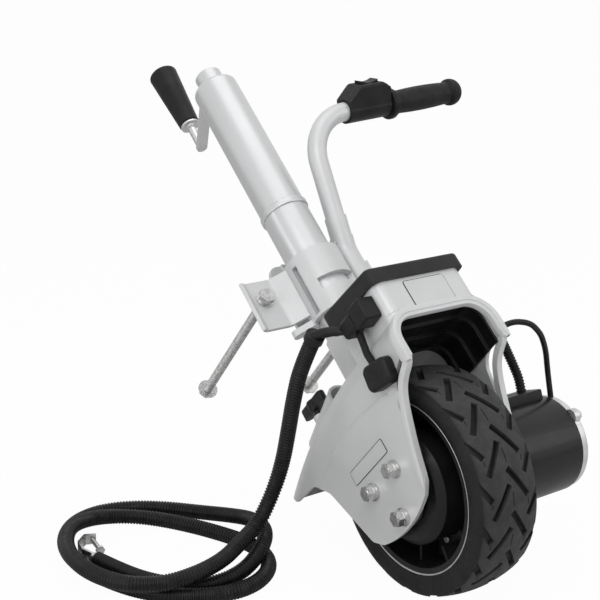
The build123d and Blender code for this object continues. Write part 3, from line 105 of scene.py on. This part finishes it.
floor_mesh = bmesh.new()
bmesh.ops.create_grid(floor_mesh, x_segments=1, y_segments=1, size=FLOOR_HALF)
bmesh.ops.translate(floor_mesh, verts=floor_mesh.verts, vec=(0, 0, FLOOR - FLOOR_GAP))
floor_data = bpy.data.meshes.new("floor")
floor_mesh.to_mesh(floor_data)
floor_mesh.free()
floor = bpy.data.objects.new("floor", floor_data)
bpy.context.collection.objects.link(floor)
floor_data.materials.append(floor_finish())

# Studio: plain white to the camera, in reflections and through clear pieces, and dimmer light elsewhere
ROOM_STRENGTH = 0.38
world = bpy.data.worlds.new("studio")
bpy.context.scene.world = world
world.use_nodes = True
sky, sky_links = world.node_tree.nodes, world.node_tree.links
sky.clear()
white = sky.new("ShaderNodeBackground")
white.inputs["Color"].default_value = (1, 1, 1, 1)
white.inputs["Strength"].default_value = 1.0
room = sky.new("ShaderNodeBackground")
room.inputs["Color"].default_value = (1, 1, 1, 1)
room.inputs["Strength"].default_value = ROOM_STRENGTH
rays = sky.new("ShaderNodeLightPath")
sees_white = rays.outputs["Is Camera Ray"]
for kind in ("Is Transmission Ray", "Is Glossy Ray"):
    either = sky.new("ShaderNodeMath")
    either.operation = "MAXIMUM"
    sky_links.new(sees_white, either.inputs[0])
    sky_links.new(rays.outputs[kind], either.inputs[1])
    sees_white = either.outputs[0]
mix = sky.new("ShaderNodeMixShader")
out = sky.new("ShaderNodeOutputWorld")
sky_links.new(sees_white, mix.inputs["Fac"])
sky_links.new(room.outputs[0], mix.inputs[1])
sky_links.new(white.outputs[0], mix.inputs[2])
sky_links.new(mix.outputs[0], out.inputs["Surface"])


def lamp(name, place, aim, size, power):
    """Large soft lamp at a place, turned to a point."""
    light = bpy.data.lights.new(name, "AREA")
    light.shape = "RECTANGLE"
    light.size, light.size_y = size
    light.energy = power
    holder = bpy.data.objects.new(name, light)
    holder.location = place
    holder.rotation_euler = (Vector(aim) - Vector(place)).to_track_quat("-Z", "Y").to_euler()
    bpy.context.collection.objects.link(holder)


lamp("key_lamp", (1.1, -1.2, 1.7), (0, 0, 0), (1.4, 1.0), 13.5)
lamp("fill_lamp", (1.6, 1.1, 0.9), (0.1, 0, 0), (1.2, 1.2), 6)
lamp("side_lamp", (0.2, -1.9, 0.35), (0.2, 0, -0.1), (1.2, 0.9), 5)
lamp("top_lamp", (-0.2, 0.1, 2.0), (0, 0, 0), (1.6, 1.6), 9)
bpy.context.scene.view_settings.view_transform = "Standard"

# What the finishes share
CLOUD_DETAIL = 5.0
GLOSS_DETAIL = 4.0
GRAIN_DETAIL = 2.0
GLOSS_SCALE = 3.1
GRAIN_STRENGTH = 0.35


def new_finish(name, colour, roughness, metallic=0.0, coat=0.0, specular=0.5):
    """Principled material with its shader, its nodes and links, and its Object coordinates."""
    material = bpy.data.materials.new(name)
    material.use_nodes = True
    nodes, links = material.node_tree.nodes, material.node_tree.links
    shader = nodes["Principled BSDF"]
    shader.inputs["Base Color"].default_value = (*colour, 1)
    shader.inputs["Roughness"].default_value = roughness
    shader.inputs["Metallic"].default_value = metallic
    shader.inputs["Coat Weight"].default_value = coat
    shader.inputs["Specular IOR Level"].default_value = specular
    place = nodes.new("ShaderNodeTexCoord")
    return material, shader, nodes, links, place.outputs["Object"]


def grain(nodes, links, place, scale, detail, stretch=None):
    """Noise at a scale, drawn out along the leaning jack tube if a stretch is given."""
    noise = nodes.new("ShaderNodeTexNoise")
    noise.inputs["Scale"].default_value = scale
    noise.inputs["Detail"].default_value = detail
    if stretch is not None:
        mapping = nodes.new("ShaderNodeMapping")
        mapping.inputs["Rotation"].default_value = (0, LEAN, 0)
        mapping.inputs["Scale"].default_value = stretch
        links.new(place, mapping.inputs["Vector"])
        links.new(mapping.outputs[0], noise.inputs["Vector"])
    else:
        links.new(place, noise.inputs["Vector"])
    return noise.outputs["Fac"]


def ramp(nodes, links, level, dark, light):
    """Colour between a dark and a light one, over the middle of a noise's range."""
    node = nodes.new("ShaderNodeValToRGB")
    node.color_ramp.elements[0].position = 0.35
    node.color_ramp.elements[1].position = 0.65
    node.color_ramp.elements[0].color = (*dark, 1)
    node.color_ramp.elements[1].color = (*light, 1)
    links.new(level, node.inputs["Fac"])
    return node.outputs["Color"]


def roughen(nodes, links, shader, level, low, high):
    """Roughness between two limits, over the middle of a noise's range."""
    span = nodes.new("ShaderNodeMapRange")
    span.inputs["From Min"].default_value = 0.3
    span.inputs["From Max"].default_value = 0.7
    span.inputs["To Min"].default_value = low
    span.inputs["To Max"].default_value = high
    links.new(level, span.inputs["Value"])
    links.new(span.outputs[0], shader.inputs["Roughness"])


def emboss(nodes, links, shader, level, strength, depth):
    """Bump from a value, with its depth in metres."""
    bump = nodes.new("ShaderNodeBump")
    bump.inputs["Strength"].default_value = strength
    bump.inputs["Distance"].default_value = depth
    links.new(level, bump.inputs["Height"])
    links.new(bump.outputs[0], shader.inputs["Normal"])


def worked_out(nodes, links, kind, operation, values, output="Value"):
    """Result of a maths node whose inputs are outputs of other nodes or fixed values."""
    node = nodes.new(kind)
    node.operation = operation
    for entry, value in zip(node.inputs, values):
        if isinstance(value, bpy.types.NodeSocket):
            links.new(value, entry)
        else:
            entry.default_value = value
    return node.outputs[output]


def speckled(name, dark, light, rough_low, rough_high, metallic=0.0, coat=0.0, mottle=24, fine=900,
             depth=0.00003, stretch=None, specular=0.5):
    """Surface with cloudy tone, uneven gloss and a fine grain, as paint, plating and moulding have."""
    tone = tuple((a + b) / 2 for a, b in zip(dark, light))
    material, shader, nodes, links, place = new_finish(name, tone, rough_low, metallic, coat, specular)
    cloud = grain(nodes, links, place, mottle, CLOUD_DETAIL, stretch)
    links.new(ramp(nodes, links, cloud, dark, light), shader.inputs["Base Color"])
    gloss = grain(nodes, links, place, mottle * GLOSS_SCALE, GLOSS_DETAIL)
    roughen(nodes, links, shader, gloss, rough_low, rough_high)
    emboss(nodes, links, shader, grain(nodes, links, place, fine, GRAIN_DETAIL), GRAIN_STRENGTH, depth)
    return material


# Paints
silver_coat = speckled("silver_coat", (0.63, 0.635, 0.64), (0.68, 0.685, 0.69), 0.38, 0.48,
                       metallic=0.2, coat=0.1, mottle=9, fine=1400, depth=0.00002)
tube_coat = speckled("tube_coat", (0.58, 0.585, 0.59), (0.62, 0.625, 0.63), 0.33, 0.40,
                     metallic=0.5, coat=0.1, mottle=6, fine=1200, depth=0.00002,
                     stretch=(1.0, 1.0, 0.15))
motor_paint = speckled("motor_paint", (0.008, 0.008, 0.009), (0.014, 0.014, 0.015), 0.26, 0.36,
                       coat=0.1, mottle=18, fine=1500, depth=0.00003, specular=0.22)
drum_black = speckled("drum_black", (0.007, 0.007, 0.008), (0.014, 0.014, 0.015), 0.30, 0.42,
                      mottle=30, fine=1100, depth=0.00004, specular=0.22)
bead_white = speckled("bead_white", (0.66, 0.665, 0.67), (0.72, 0.725, 0.73), 0.30, 0.42,
                      coat=0.15, mottle=14, fine=1500, depth=0.00002)
# Light grey for the ring on the rim's bead: a painted highlight
bead_highlight_paint = speckled("bead_highlight_paint", (0.42, 0.42, 0.42), (0.55, 0.55, 0.55), 0.3, 0.45,
                      metallic=0.3, mottle=80, fine=1300)
# Near black for the rims round the bare plates: painted shade
plate_rim_shade = speckled("plate_rim_shade", (0.02, 0.02, 0.02), (0.03, 0.03, 0.03), 0.4, 0.5, mottle=40)

# Bare metals
zinc_plate = speckled("zinc_plate", (0.50, 0.50, 0.50), (0.66, 0.66, 0.65), 0.24, 0.42,
                      metallic=1.0, mottle=220, fine=2600, depth=0.00002)
ground_steel = speckled("ground_steel", (0.47, 0.47, 0.48), (0.52, 0.52, 0.53), 0.30, 0.38,
                        metallic=1.0, mottle=120, fine=2600, depth=0.00002)
nut_brass = speckled("nut_brass", (0.55, 0.38, 0.13), (0.68, 0.5, 0.2), 0.25, 0.4,
                     metallic=1.0, mottle=90, fine=1500)
cap_alloy = speckled("cap_alloy", (0.55, 0.555, 0.56), (0.66, 0.665, 0.67), 0.32, 0.45,
                     metallic=0.7, mottle=70, fine=1300, depth=0.00004)

# Mouldings and rubbers
black_mould = speckled("black_mould", (0.006, 0.006, 0.007), (0.013, 0.013, 0.014), 0.36, 0.55,
                       mottle=40, fine=1700, depth=0.00006, specular=0.22)
lid_mould = speckled("lid_mould", (0.014, 0.014, 0.015), (0.022, 0.022, 0.023), 0.40, 0.52,
                     mottle=30, fine=2200, depth=0.00006, specular=0.22)
liner_mould = speckled("liner_mould", (0.005, 0.005, 0.006), (0.010, 0.010, 0.011), 0.28, 0.42,
                       mottle=36, fine=1500, depth=0.00005, specular=0.22)
grip_rubber = speckled("grip_rubber", (0.008, 0.008, 0.009), (0.015, 0.015, 0.016), 0.50, 0.66,
                       mottle=60, fine=1900, depth=0.00008, specular=0.22)
hose_black = speckled("hose_black", (0.006, 0.006, 0.007), (0.013, 0.013, 0.014), 0.30, 0.46,
                      mottle=70, fine=1600, depth=0.00004, specular=0.22)
board_green = speckled("board_green", (0.01, 0.08, 0.03), (0.02, 0.14, 0.05), 0.3, 0.45, mottle=300)
magnet_grey = speckled("magnet_grey", (0.05, 0.05, 0.055), (0.1, 0.1, 0.105), 0.5, 0.7, mottle=150)

# Thread of the clamp bolts in metres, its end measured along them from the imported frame's origin
THREAD_PITCH = 0.00175
THREAD_END = 0.012
THREAD_DEPTH = 0.0005


def threaded_zinc():
    """Zinc plate with a thread round the clamp bolts, cut from their tips as far as the thread's end."""
    material, shader, nodes, links, place = new_finish("bolt_zinc", (0.5, 0.5, 0.5), 0.3, metallic=1.0)
    cloud = grain(nodes, links, place, 220, CLOUD_DETAIL)
    plating = ramp(nodes, links, cloud, (0.40, 0.40, 0.40), (0.56, 0.56, 0.55))
    links.new(plating, shader.inputs["Base Color"])
    roughen(nodes, links, shader, cloud, 0.24, 0.42)
    bolt_way = (math.cos(LEAN), 0, math.sin(LEAN))
    along_bolt = worked_out(nodes, links, "ShaderNodeVectorMath", "DOT_PRODUCT", (place, bolt_way))
    turn_rate = 2 * math.pi / THREAD_PITCH
    turns = worked_out(nodes, links, "ShaderNodeMath", "MULTIPLY", (along_bolt, turn_rate))
    thread = worked_out(nodes, links, "ShaderNodeMath", "SINE", (turns,))
    shank = worked_out(nodes, links, "ShaderNodeMath", "LESS_THAN", (along_bolt, THREAD_END))
    cut = worked_out(nodes, links, "ShaderNodeMath", "MULTIPLY", (thread, shank))
    emboss(nodes, links, shader, cut, 0.8, THREAD_DEPTH)
    return material


# Reaches from the axle in metres, between which the rubber turns paler: below them the side walls in black
# rubber and the grooves darkened as painted shade, above them the scuffed tread face
GROOVE_REACH = 0.1235
TREAD_REACH = 0.1262


def tread_wear_and_groove_shade():
    """Tyre rubber, paler on the tread's outer face than in its grooves and on the side walls; the dark in
    the grooves is painted shade.
    """
    material, shader, nodes, links, place = new_finish(
        "tyre_wear_and_groove_shade", (0.02, 0.02, 0.02), 0.6, specular=0.25
    )
    from_hub = worked_out(nodes, links, "ShaderNodeVectorMath", "SUBTRACT", (place, WHEEL), "Vector")
    outward = worked_out(nodes, links, "ShaderNodeVectorMath", "MULTIPLY", (from_hub, (1, 0, 1)), "Vector")
    reach = worked_out(nodes, links, "ShaderNodeVectorMath", "LENGTH", (outward,))
    # Mask by reach from the axle: scuffed rubber on the tread face, dark rubber further in, which in the
    # grooves is painted shade
    wear_and_shade_mask = nodes.new("ShaderNodeMapRange")
    wear_and_shade_mask.interpolation_type = "SMOOTHSTEP"
    wear_and_shade_mask.inputs["From Min"].default_value = GROOVE_REACH
    wear_and_shade_mask.inputs["From Max"].default_value = TREAD_REACH
    links.new(reach, wear_and_shade_mask.inputs["Value"])
    cloud = grain(nodes, links, place, 60, CLOUD_DETAIL)
    dark_rubber_and_groove_shade = ramp(nodes, links, cloud, (0.006, 0.006, 0.007), (0.011, 0.011, 0.012))
    scuffed = ramp(nodes, links, cloud, (0.030, 0.030, 0.031), (0.046, 0.046, 0.047))
    tread = nodes.new("ShaderNodeMix")
    tread.data_type = "RGBA"
    links.new(wear_and_shade_mask.outputs[0], tread.inputs["Factor"])
    links.new(dark_rubber_and_groove_shade, tread.inputs["A"])
    links.new(scuffed, tread.inputs["B"])
    links.new(tread.outputs["Result"], shader.inputs["Base Color"])
    roughen(nodes, links, shader, grain(nodes, links, place, 170, GLOSS_DETAIL), 0.50, 0.68)
    emboss(nodes, links, shader, grain(nodes, links, place, 1500, GRAIN_DETAIL), GRAIN_STRENGTH, 0.00008)
    return material


bolt_zinc = threaded_zinc()
tyre_wear_and_groove_shade = tread_wear_and_groove_shade()

# Making and placing pieces


def place_piece(shape, name, finish, body, stood_for=(), at=stance, smooth_below=35):
    """Make a mesh object from a bmesh, let it ride on its body and stand for the nodes named.

    The bmesh is in device millimetres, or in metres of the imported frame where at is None.
    """
    if at is not None:
        bmesh.ops.transform(shape, matrix=at, verts=shape.verts)
    data = bpy.data.meshes.new(name)
    shape.to_mesh(data)
    shape.free()
    piece = bpy.data.objects.new(name, data)
    bpy.context.collection.objects.link(piece)
    data.materials.append(finish)
    data.shade_smooth()
    data.set_sharp_from_angle(angle=math.radians(smooth_below))
    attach(piece, body)
    for node in stood_for:
        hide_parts(node)
    return piece


def body_of_node(node):
    """Name of the body that a CAD node rides on."""
    for name, members in frame["record"]["behaviour"]["bodies"].items():
        if node in members:
            return name
    raise KeyError(node)


WELD = 0.000004
FLAT_WITHIN = math.radians(0.6)
SHARP_FROM = math.radians(30)


def eased_copy(node, finish, width, segments):
    """Copy of a CAD node with its flats made whole and its edges eased, in the finish named."""
    shape = bmesh.new()
    shape.from_mesh(cad[node].data)
    bmesh.ops.remove_doubles(shape, verts=shape.verts, dist=WELD)
    bmesh.ops.dissolve_limit(shape, angle_limit=FLAT_WITHIN, verts=shape.verts, edges=shape.edges)
    piece = place_piece(
        shape, f"{node}_eased", finish, body_of_node(node), (node,), None, smooth_below=40
    )
    edge = piece.modifiers.new("eased_edges", "BEVEL")
    edge.width = width
    edge.segments = segments
    edge.limit_method = "ANGLE"
    edge.angle_limit = SHARP_FROM


def station(point, ahead, outward):
    """Matrix of one place on a swept bar: local z ahead, local y outward."""
    z = Vector(ahead).normalized()
    x = Vector(outward).cross(z).normalized()
    y = z.cross(x)
    turned = Matrix((x, y, z)).transposed().to_4x4()
    return Matrix.Translation(point) @ turned


def stations_on(points, outward):
    """Stations at each point of a line, with one outward direction."""
    places = []
    for index, point in enumerate(points):
        before = Vector(points[max(index - 1, 0)])
        after = Vector(points[min(index + 1, len(points) - 1)])
        places.append(station(point, after - before, outward))
    return places


def tapered(stations, shares):
    """The stations of a bar, with its section shrunk at those whose index has a share."""
    for index, share in shares.items():
        stations[index] = stations[index] @ Matrix.Scale(share, 4)
    return stations


def swept_bar(profile, stations):
    """Bar of one section, across and outward, carried through its stations and closed at both ends."""
    shape = bmesh.new()
    face = shape.faces.new([
        shape.verts.new(stations[0] @ Vector((across, outward, 0))) for across, outward in profile
    ])
    here = stations[0]
    for place in stations[1:]:
        grown = bmesh.ops.extrude_discrete_faces(shape, faces=[face])["faces"][0]
        bmesh.ops.transform(shape, matrix=place @ here.inverted(), verts=grown.verts)
        face, here = grown, place
    bmesh.ops.recalc_face_normals(shape, faces=shape.faces)
    return shape


CORNER_STEPS = 6


def rounded_plate(width, height, corner, thick, at):
    """Flat plate with round corners, made about its middle and stood up by a matrix."""
    shape = bmesh.new()
    spots = []
    for quarter, (side_x, side_y) in enumerate(((1, 1), (-1, 1), (-1, -1), (1, -1))):
        for step in range(CORNER_STEPS + 1):
            angle = math.radians(90 * quarter + 90 / CORNER_STEPS * step)
            spots.append((
                side_x * (width / 2 - corner) + corner * math.cos(angle),
                side_y * (height / 2 - corner) + corner * math.sin(angle),
            ))
    face = shape.faces.new([shape.verts.new((x, y, 0)) for x, y in spots])
    top = bmesh.ops.extrude_discrete_faces(shape, faces=[face])["faces"][0]
    bmesh.ops.translate(shape, verts=top.verts, vec=(0, 0, thick))
    bmesh.ops.recalc_face_normals(shape, faces=shape.faces)
    bmesh.ops.transform(shape, matrix=at, verts=shape.verts)
    return shape


def spline_points(route, name, resolution):
    """Points along the smooth NURBS line whose control points are the route."""
    curve = bpy.data.curves.new(name, "CURVE")
    curve.dimensions = "3D"
    curve.resolution_u = resolution
    spline = curve.splines.new("NURBS")
    spline.points.add(len(route) - 1)
    for point, spot in zip(spline.points, route):
        point.co = (*spot, 1)
    spline.order_u = 3
    spline.use_endpoint_u = True
    line = bpy.data.objects.new(name, curve)
    bpy.context.collection.objects.link(line)
    bpy.context.view_layer.update()
    data = bpy.data.meshes.new_from_object(line.evaluated_get(bpy.context.evaluated_depsgraph_get()))
    points = [vertex.co.copy() for vertex in data.vertices]
    bpy.data.objects.remove(line)
    bpy.data.curves.remove(curve)
    bpy.data.meshes.remove(data)
    return points


def along(points, gap):
    """Spots a steady gap apart on a line of points, each with its heading, and the line's length."""
    walked, spots, due = 0.0, [], 0.0
    for start, end in zip(points, points[1:]):
        run = (end - start).length
        while due <= walked + run and run > 0:
            share = (due - walked) / run
            spots.append((start.lerp(end, share), (end - start).normalized()))
            due += gap
        walked += run
    spots.append((points[-1], (points[-1] - points[-2]).normalized()))
    return spots, walked


HOSE_SIDES = 20
RINGS_PER_RIB = 4


def hose(points, radius, groove, pitch):
    """Ribbed tube along a line, its rings extruded one after another, and the line's length."""
    spots, length = along(points, pitch / RINGS_PER_RIB)
    shape = bmesh.new()
    here, heading = spots[0]
    wide = radius - groove
    turned = heading.to_track_quat("Z", "Y")
    ring = bmesh.ops.create_circle(
        shape, cap_ends=True, segments=HOSE_SIDES, radius=wide,
        matrix=Matrix.Translation(here) @ turned.to_matrix().to_4x4(),
    )["verts"]
    face = ring[0].link_faces[0]
    for index, (spot, ahead) in enumerate(spots[1:], 1):
        next_wide = radius if index % RINGS_PER_RIB in (1, 2) else radius - groove
        grown = bmesh.ops.extrude_discrete_faces(shape, faces=[face])["faces"][0]
        turn = heading.rotation_difference(ahead).to_matrix().to_4x4()
        move = (
            Matrix.Translation(spot) @ turn @ Matrix.Scale(next_wide / wide, 4) @ Matrix.Translation(-here)
        )
        bmesh.ops.transform(shape, matrix=move, verts=grown.verts)
        face, here, heading, wide = grown, spot, ahead, next_wide
    bmesh.ops.recalc_face_normals(shape, faces=shape.faces)
    return shape, length


# Lead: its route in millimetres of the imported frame, with heights above the floor
LEAD_RADIUS = 0.0095
LEAD_GROOVE = 0.0011
LEAD_PITCH = 0.0038
LEAD_RESOLUTION = 12
drop_route = [
    (118.6, -90, 284), (99, -93, 247), (88, -95.5, 205), (80, -97.5, 162),
    (73, -101, 121), (70, -113, 85), (76, -138, 54), (87, -169.5, 44.5),
]
coil_route = [
    (98, -201, 35), (104, -241, 31.5), (100, -283, 30), (76, -317, 29.8),
    (32, -336, 29.8), (-16, -338, 29.8), (-61, -325, 29.8), (-97, -300, 28.6), (-117, -263, 20.5),
    (-116, -224, 13), (-93, -190, 9.7), (-54, -165, 9.7), (-10, -144, 9.7), (36, -128, 9.7),
    (77, -127, 9.7), (111, -146, 9.7), (130, -181, 9.7), (128, -220, 9.7), (109, -256, 9.7),
    (77, -286, 9.7), (38, -306, 9.7), (-10, -319, 9.7), (-58, -322, 9.7), (-104, -308, 9.7),
    (-138, -278, 9.7), (-149, -238, 9.7), (-137, -198, 9.7), (-107, -161, 9.7), (-68, -132, 11),
    (-24, -114, 19), (19, -108, 29), (58, -116, 34), (88, -138, 31.5), (105, -174, 17),
    (103, -214, 9.7), (84, -248, 9.7), (52, -273, 9.7), (12, -288, 9.7), (-32, -298, 9.7),
]
lead_route = [
    Vector((x / 1000, y / 1000, FLOOR + z / 1000)) for x, y, z in drop_route + coil_route
]
lead_line = spline_points(lead_route, "lead_line", LEAD_RESOLUTION)
lead_shape, lead_length = hose(lead_line, LEAD_RADIUS, LEAD_GROOVE, LEAD_PITCH)
lead_hose = place_piece(
    lead_shape, "lead_hose", hose_black, "chassis", ("lead_drop", "lead_coil"), None, smooth_below=28
)

# CAD nodes with eased edges: finish, width of the easing in metres, and its steps
eased = {
    "housing_shell": (silver_coat, 0.0009, 3),
    "arch_liner": (liner_mould, 0.0006, 2),
    "control_box": (silver_coat, 0.0009, 2),
    "box_lid": (lid_mould, 0.0008, 3),
    "outer_tube": (tube_coat, 0.0004, 2),
    "inner_tube": (ground_steel, 0.0004, 2),
    "crank_hub": (tube_coat, 0.0008, 3),
    "crank_arm": (tube_coat, 0.0009, 3),
    "crank_pin": (zinc_plate, 0.0005, 2),
    "clamp_sleeve": (silver_coat, 0.0007, 2),
    "saddle_wings": (silver_coat, 0.0007, 2),
    "backing_plate": (silver_coat, 0.0007, 2),
    "tiller_sockets": (silver_coat, 0.0007, 2),
    "tiller_leg": (silver_coat, 0.0004, 2),
    "tiller_tube": (silver_coat, 0.0004, 2),
    "wing_screw": (black_mould, 0.0010, 3),
    "tyre": (tyre_wear_and_groove_shade, 0.0005, 2),
    "wheel_rim": (drum_black, 0.0006, 2),
    "hub_drum": (drum_black, 0.0020, 4),
    "stub_axle": (ground_steel, 0.0006, 2),
    "gearbox_flange": (ground_steel, 0.0006, 2),
    "motor_can": (motor_paint, 0.0010, 3),
    "motor_end_cap": (cap_alloy, 0.0008, 3),
    "terminal_cover": (black_mould, 0.0007, 3),
    "cable_clip": (zinc_plate, 0.0007, 2),
    "power_socket": (black_mould, 0.0010, 3),
    "lead_plug": (black_mould, 0.0010, 3),
    "dust_cap": (black_mould, 0.0010, 3),
    "thumb_rocker": (black_mould, 0.0008, 3),
    "snap_button": (zinc_plate, 0.0003, 2),
    "case_screws": (zinc_plate, 0.0003, 2),
    "rim_screws": (zinc_plate, 0.0004, 2),
}
for node, (finish, width, segments) in eased.items():
    eased_copy(node, finish, width, segments)

# CAD nodes that are right as they are take their finish only
plain = {
    "hub_bearings": ground_steel, "control_board": board_green, "lifting_nut": nut_brass,
    "guide_bush": black_mould, "thrust_bearing": ground_steel, "lead_screw": ground_steel,
    "planet_gear_1": ground_steel, "planet_gear_2": ground_steel, "planet_gear_3": ground_steel,
    "armature": ground_steel, "motor_magnets": magnet_grey, "brush_holder": black_mould,
    "hub_bolts": zinc_plate, "hub_washers": zinc_plate, "clamp_bolts": bolt_zinc,
    "clamp_washers": zinc_plate, "flange_nuts": zinc_plate, "lead_terminal": zinc_plate,
    "tiller_ferrule": silver_coat, "crank_grip": black_mould, "tiller_grip": grip_rubber,
    "grip_collar": black_mould, "switch_housing": black_mould, "motor_conduit": hose_black,
    "motor_cable": hose_black, "lead_sheath": black_mould,
}
for node, finish in plain.items():
    data = cad[node].data
    data.materials.clear()
    data.materials.append(finish)

# White bead round the front arch: up the right foot, round two corners, down the left foot
ARCH_FRONT = 141.5
ARCH_LEFT = -66
ARCH_RIGHT = 84
ARCH_TOP = 148
ARCH_RADIUS = 36
ARCH_STEPS = 12
foot_heights = (87, 92, 98, 104)
arch_line = [(ARCH_FRONT, ARCH_RIGHT, height) for height in foot_heights]
for corner_y, first_angle in ((ARCH_RIGHT - ARCH_RADIUS, 0), (ARCH_LEFT + ARCH_RADIUS, 90)):
    for step in range(ARCH_STEPS + 1):
        angle = math.radians(first_angle + 90 / ARCH_STEPS * step)
        arch_line.append((
            ARCH_FRONT,
            corner_y + ARCH_RADIUS * math.cos(angle),
            ARCH_TOP - ARCH_RADIUS + ARCH_RADIUS * math.sin(angle),
        ))
arch_line += [(ARCH_FRONT, ARCH_LEFT, height) for height in reversed(foot_heights)]
foot_shares = {0: 0.6, 1: 0.92, -2: 0.92, -1: 0.6}
two_steps = [
    (-0.8, -6), (-0.8, 1.2), (-0.2, 2.6), (1.4, 3.4), (4.2, 3.4), (5.6, 2.7), (6.0, 1.4), (8.6, 1.2),
    (9.8, 0.6), (10.2, -0.8), (10.2, -6),
]
arch_places = tapered(stations_on(arch_line, (1, 0, 0)), foot_shares)
place_piece(swept_bar(two_steps, arch_places), "arch_bead", bead_white, "chassis")

# White beads down the front edges of the two side plates, from the arch's feet
LEFT_EDGE = -62.5
RIGHT_EDGE = 80.5
TRIM_RESOLUTION = 4
edge_line = [
    (138, 104), (138.5, 97), (136, 90.5), (130, 86.5), (122, 83.5), (112.5, 78.5), (104, 71.5), (97, 62),
    (91, 52), (84.5, 39), (78, 26), (71, 10), (65, -6), (61, -17), (56, -25.5),
]
tail_shares = {-4: 0.9, -3: 0.75, -2: 0.5, -1: 0.15}
rounded_bar = [(4, 2.0), (3.2, 2.9), (0, 3.2), (-3.2, 2.9), (-4, 2.0), (-4, -5.5), (4, -5.5)]
for side, edge_y, outward in (("left", LEFT_EDGE, -1), ("right", RIGHT_EDGE, 1)):
    edge_route = [(x, edge_y, z) for x, z in edge_line]
    edge_points = spline_points(edge_route, f"{side}_edge_line", TRIM_RESOLUTION)
    edge_places = tapered(stations_on(edge_points, (0, outward, 0)), tail_shares)
    place_piece(swept_bar(rounded_bar, edge_places), f"{side}_plate_bead", bead_white, "chassis")

# Crease where the fender's swell meets the flat of the left side plate
LEFT_FLAT = -61.9
crease_line = [
    (78, 82.5), (52, 88.5), (29, 91), (4, 92.6), (-19, 92.5), (-44, 89), (-67, 85), (-96, 80), (-122, 75),
]
low_ridge = [(2.6, 0), (0.6, 1.0), (-0.4, 1.0), (-1.0, 0), (-1.0, -1.5), (2.6, -1.5)]
crease_route = [(x, LEFT_FLAT, z) for x, z in crease_line]
crease_points = spline_points(crease_route, "crease_line", TRIM_RESOLUTION)
crease_places = stations_on(crease_points, (0, -1, 0))
place_piece(swept_bar(low_ridge, crease_places), "plate_crease", silver_coat, "chassis")

# Bare plates with a dark edge, painted shade round their rims: middle, way it faces, width, height, corner
# and thickness, and finish
faces_front = Matrix(((0, 0, 1), (1, 0, 0), (0, 1, 0))).to_4x4()
faces_left = Matrix(((1, 0, 0), (0, 0, -1), (0, 1, 0))).to_4x4()
plates = {
    "front_plate_shade_rim": ((139.9, 14.7, 165.5), faces_front, (59.4, 34.4, 3.4, 0.6), plate_rim_shade),
    "front_plate": ((139.9, 14.7, 165.5), faces_front, (57.6, 32.6, 2.6, 1.0), bead_white),
    "side_plate_shade_rim": ((-10, LEFT_FLAT, 44.5), faces_left, (82, 18, 2.5, 0.6), plate_rim_shade),
    "side_plate": ((-10, LEFT_FLAT - 0.3, 44.5), faces_left, (80.4, 16.4, 1.8, 0.5), silver_coat),
}
for name, (middle, facing, sizes, finish) in plates.items():
    place_piece(rounded_plate(*sizes, Matrix.Translation(middle) @ facing), name, finish, "chassis")

# Light ring on the rim's bead, on the open side of the dish, its light grey a painted highlight: reach
# from the axle, and place along it
RING_STEPS = 96
ring_outline = [(99.2, -36.6), (99.4, -38.1), (100.3, -38.6), (101.2, -38.1), (101.4, -36.6)]
painted_highlight_ring = bmesh.new()
section = [painted_highlight_ring.verts.new((reach, along_axle, 0)) for reach, along_axle in ring_outline]
section_edges = [painted_highlight_ring.edges.new(pair) for pair in zip(section, section[1:] + section[:1])]
bmesh.ops.spin(
    painted_highlight_ring, geom=section + section_edges, cent=(0, 0, 0), axis=(0, 1, 0), angle=2 * math.pi,
    steps=RING_STEPS, use_merge=True,
)
bmesh.ops.recalc_face_normals(painted_highlight_ring, faces=painted_highlight_ring.faces)
place_piece(painted_highlight_ring, "rim_bead_painted_highlight", bead_highlight_paint, body_of_node("wheel_rim"))
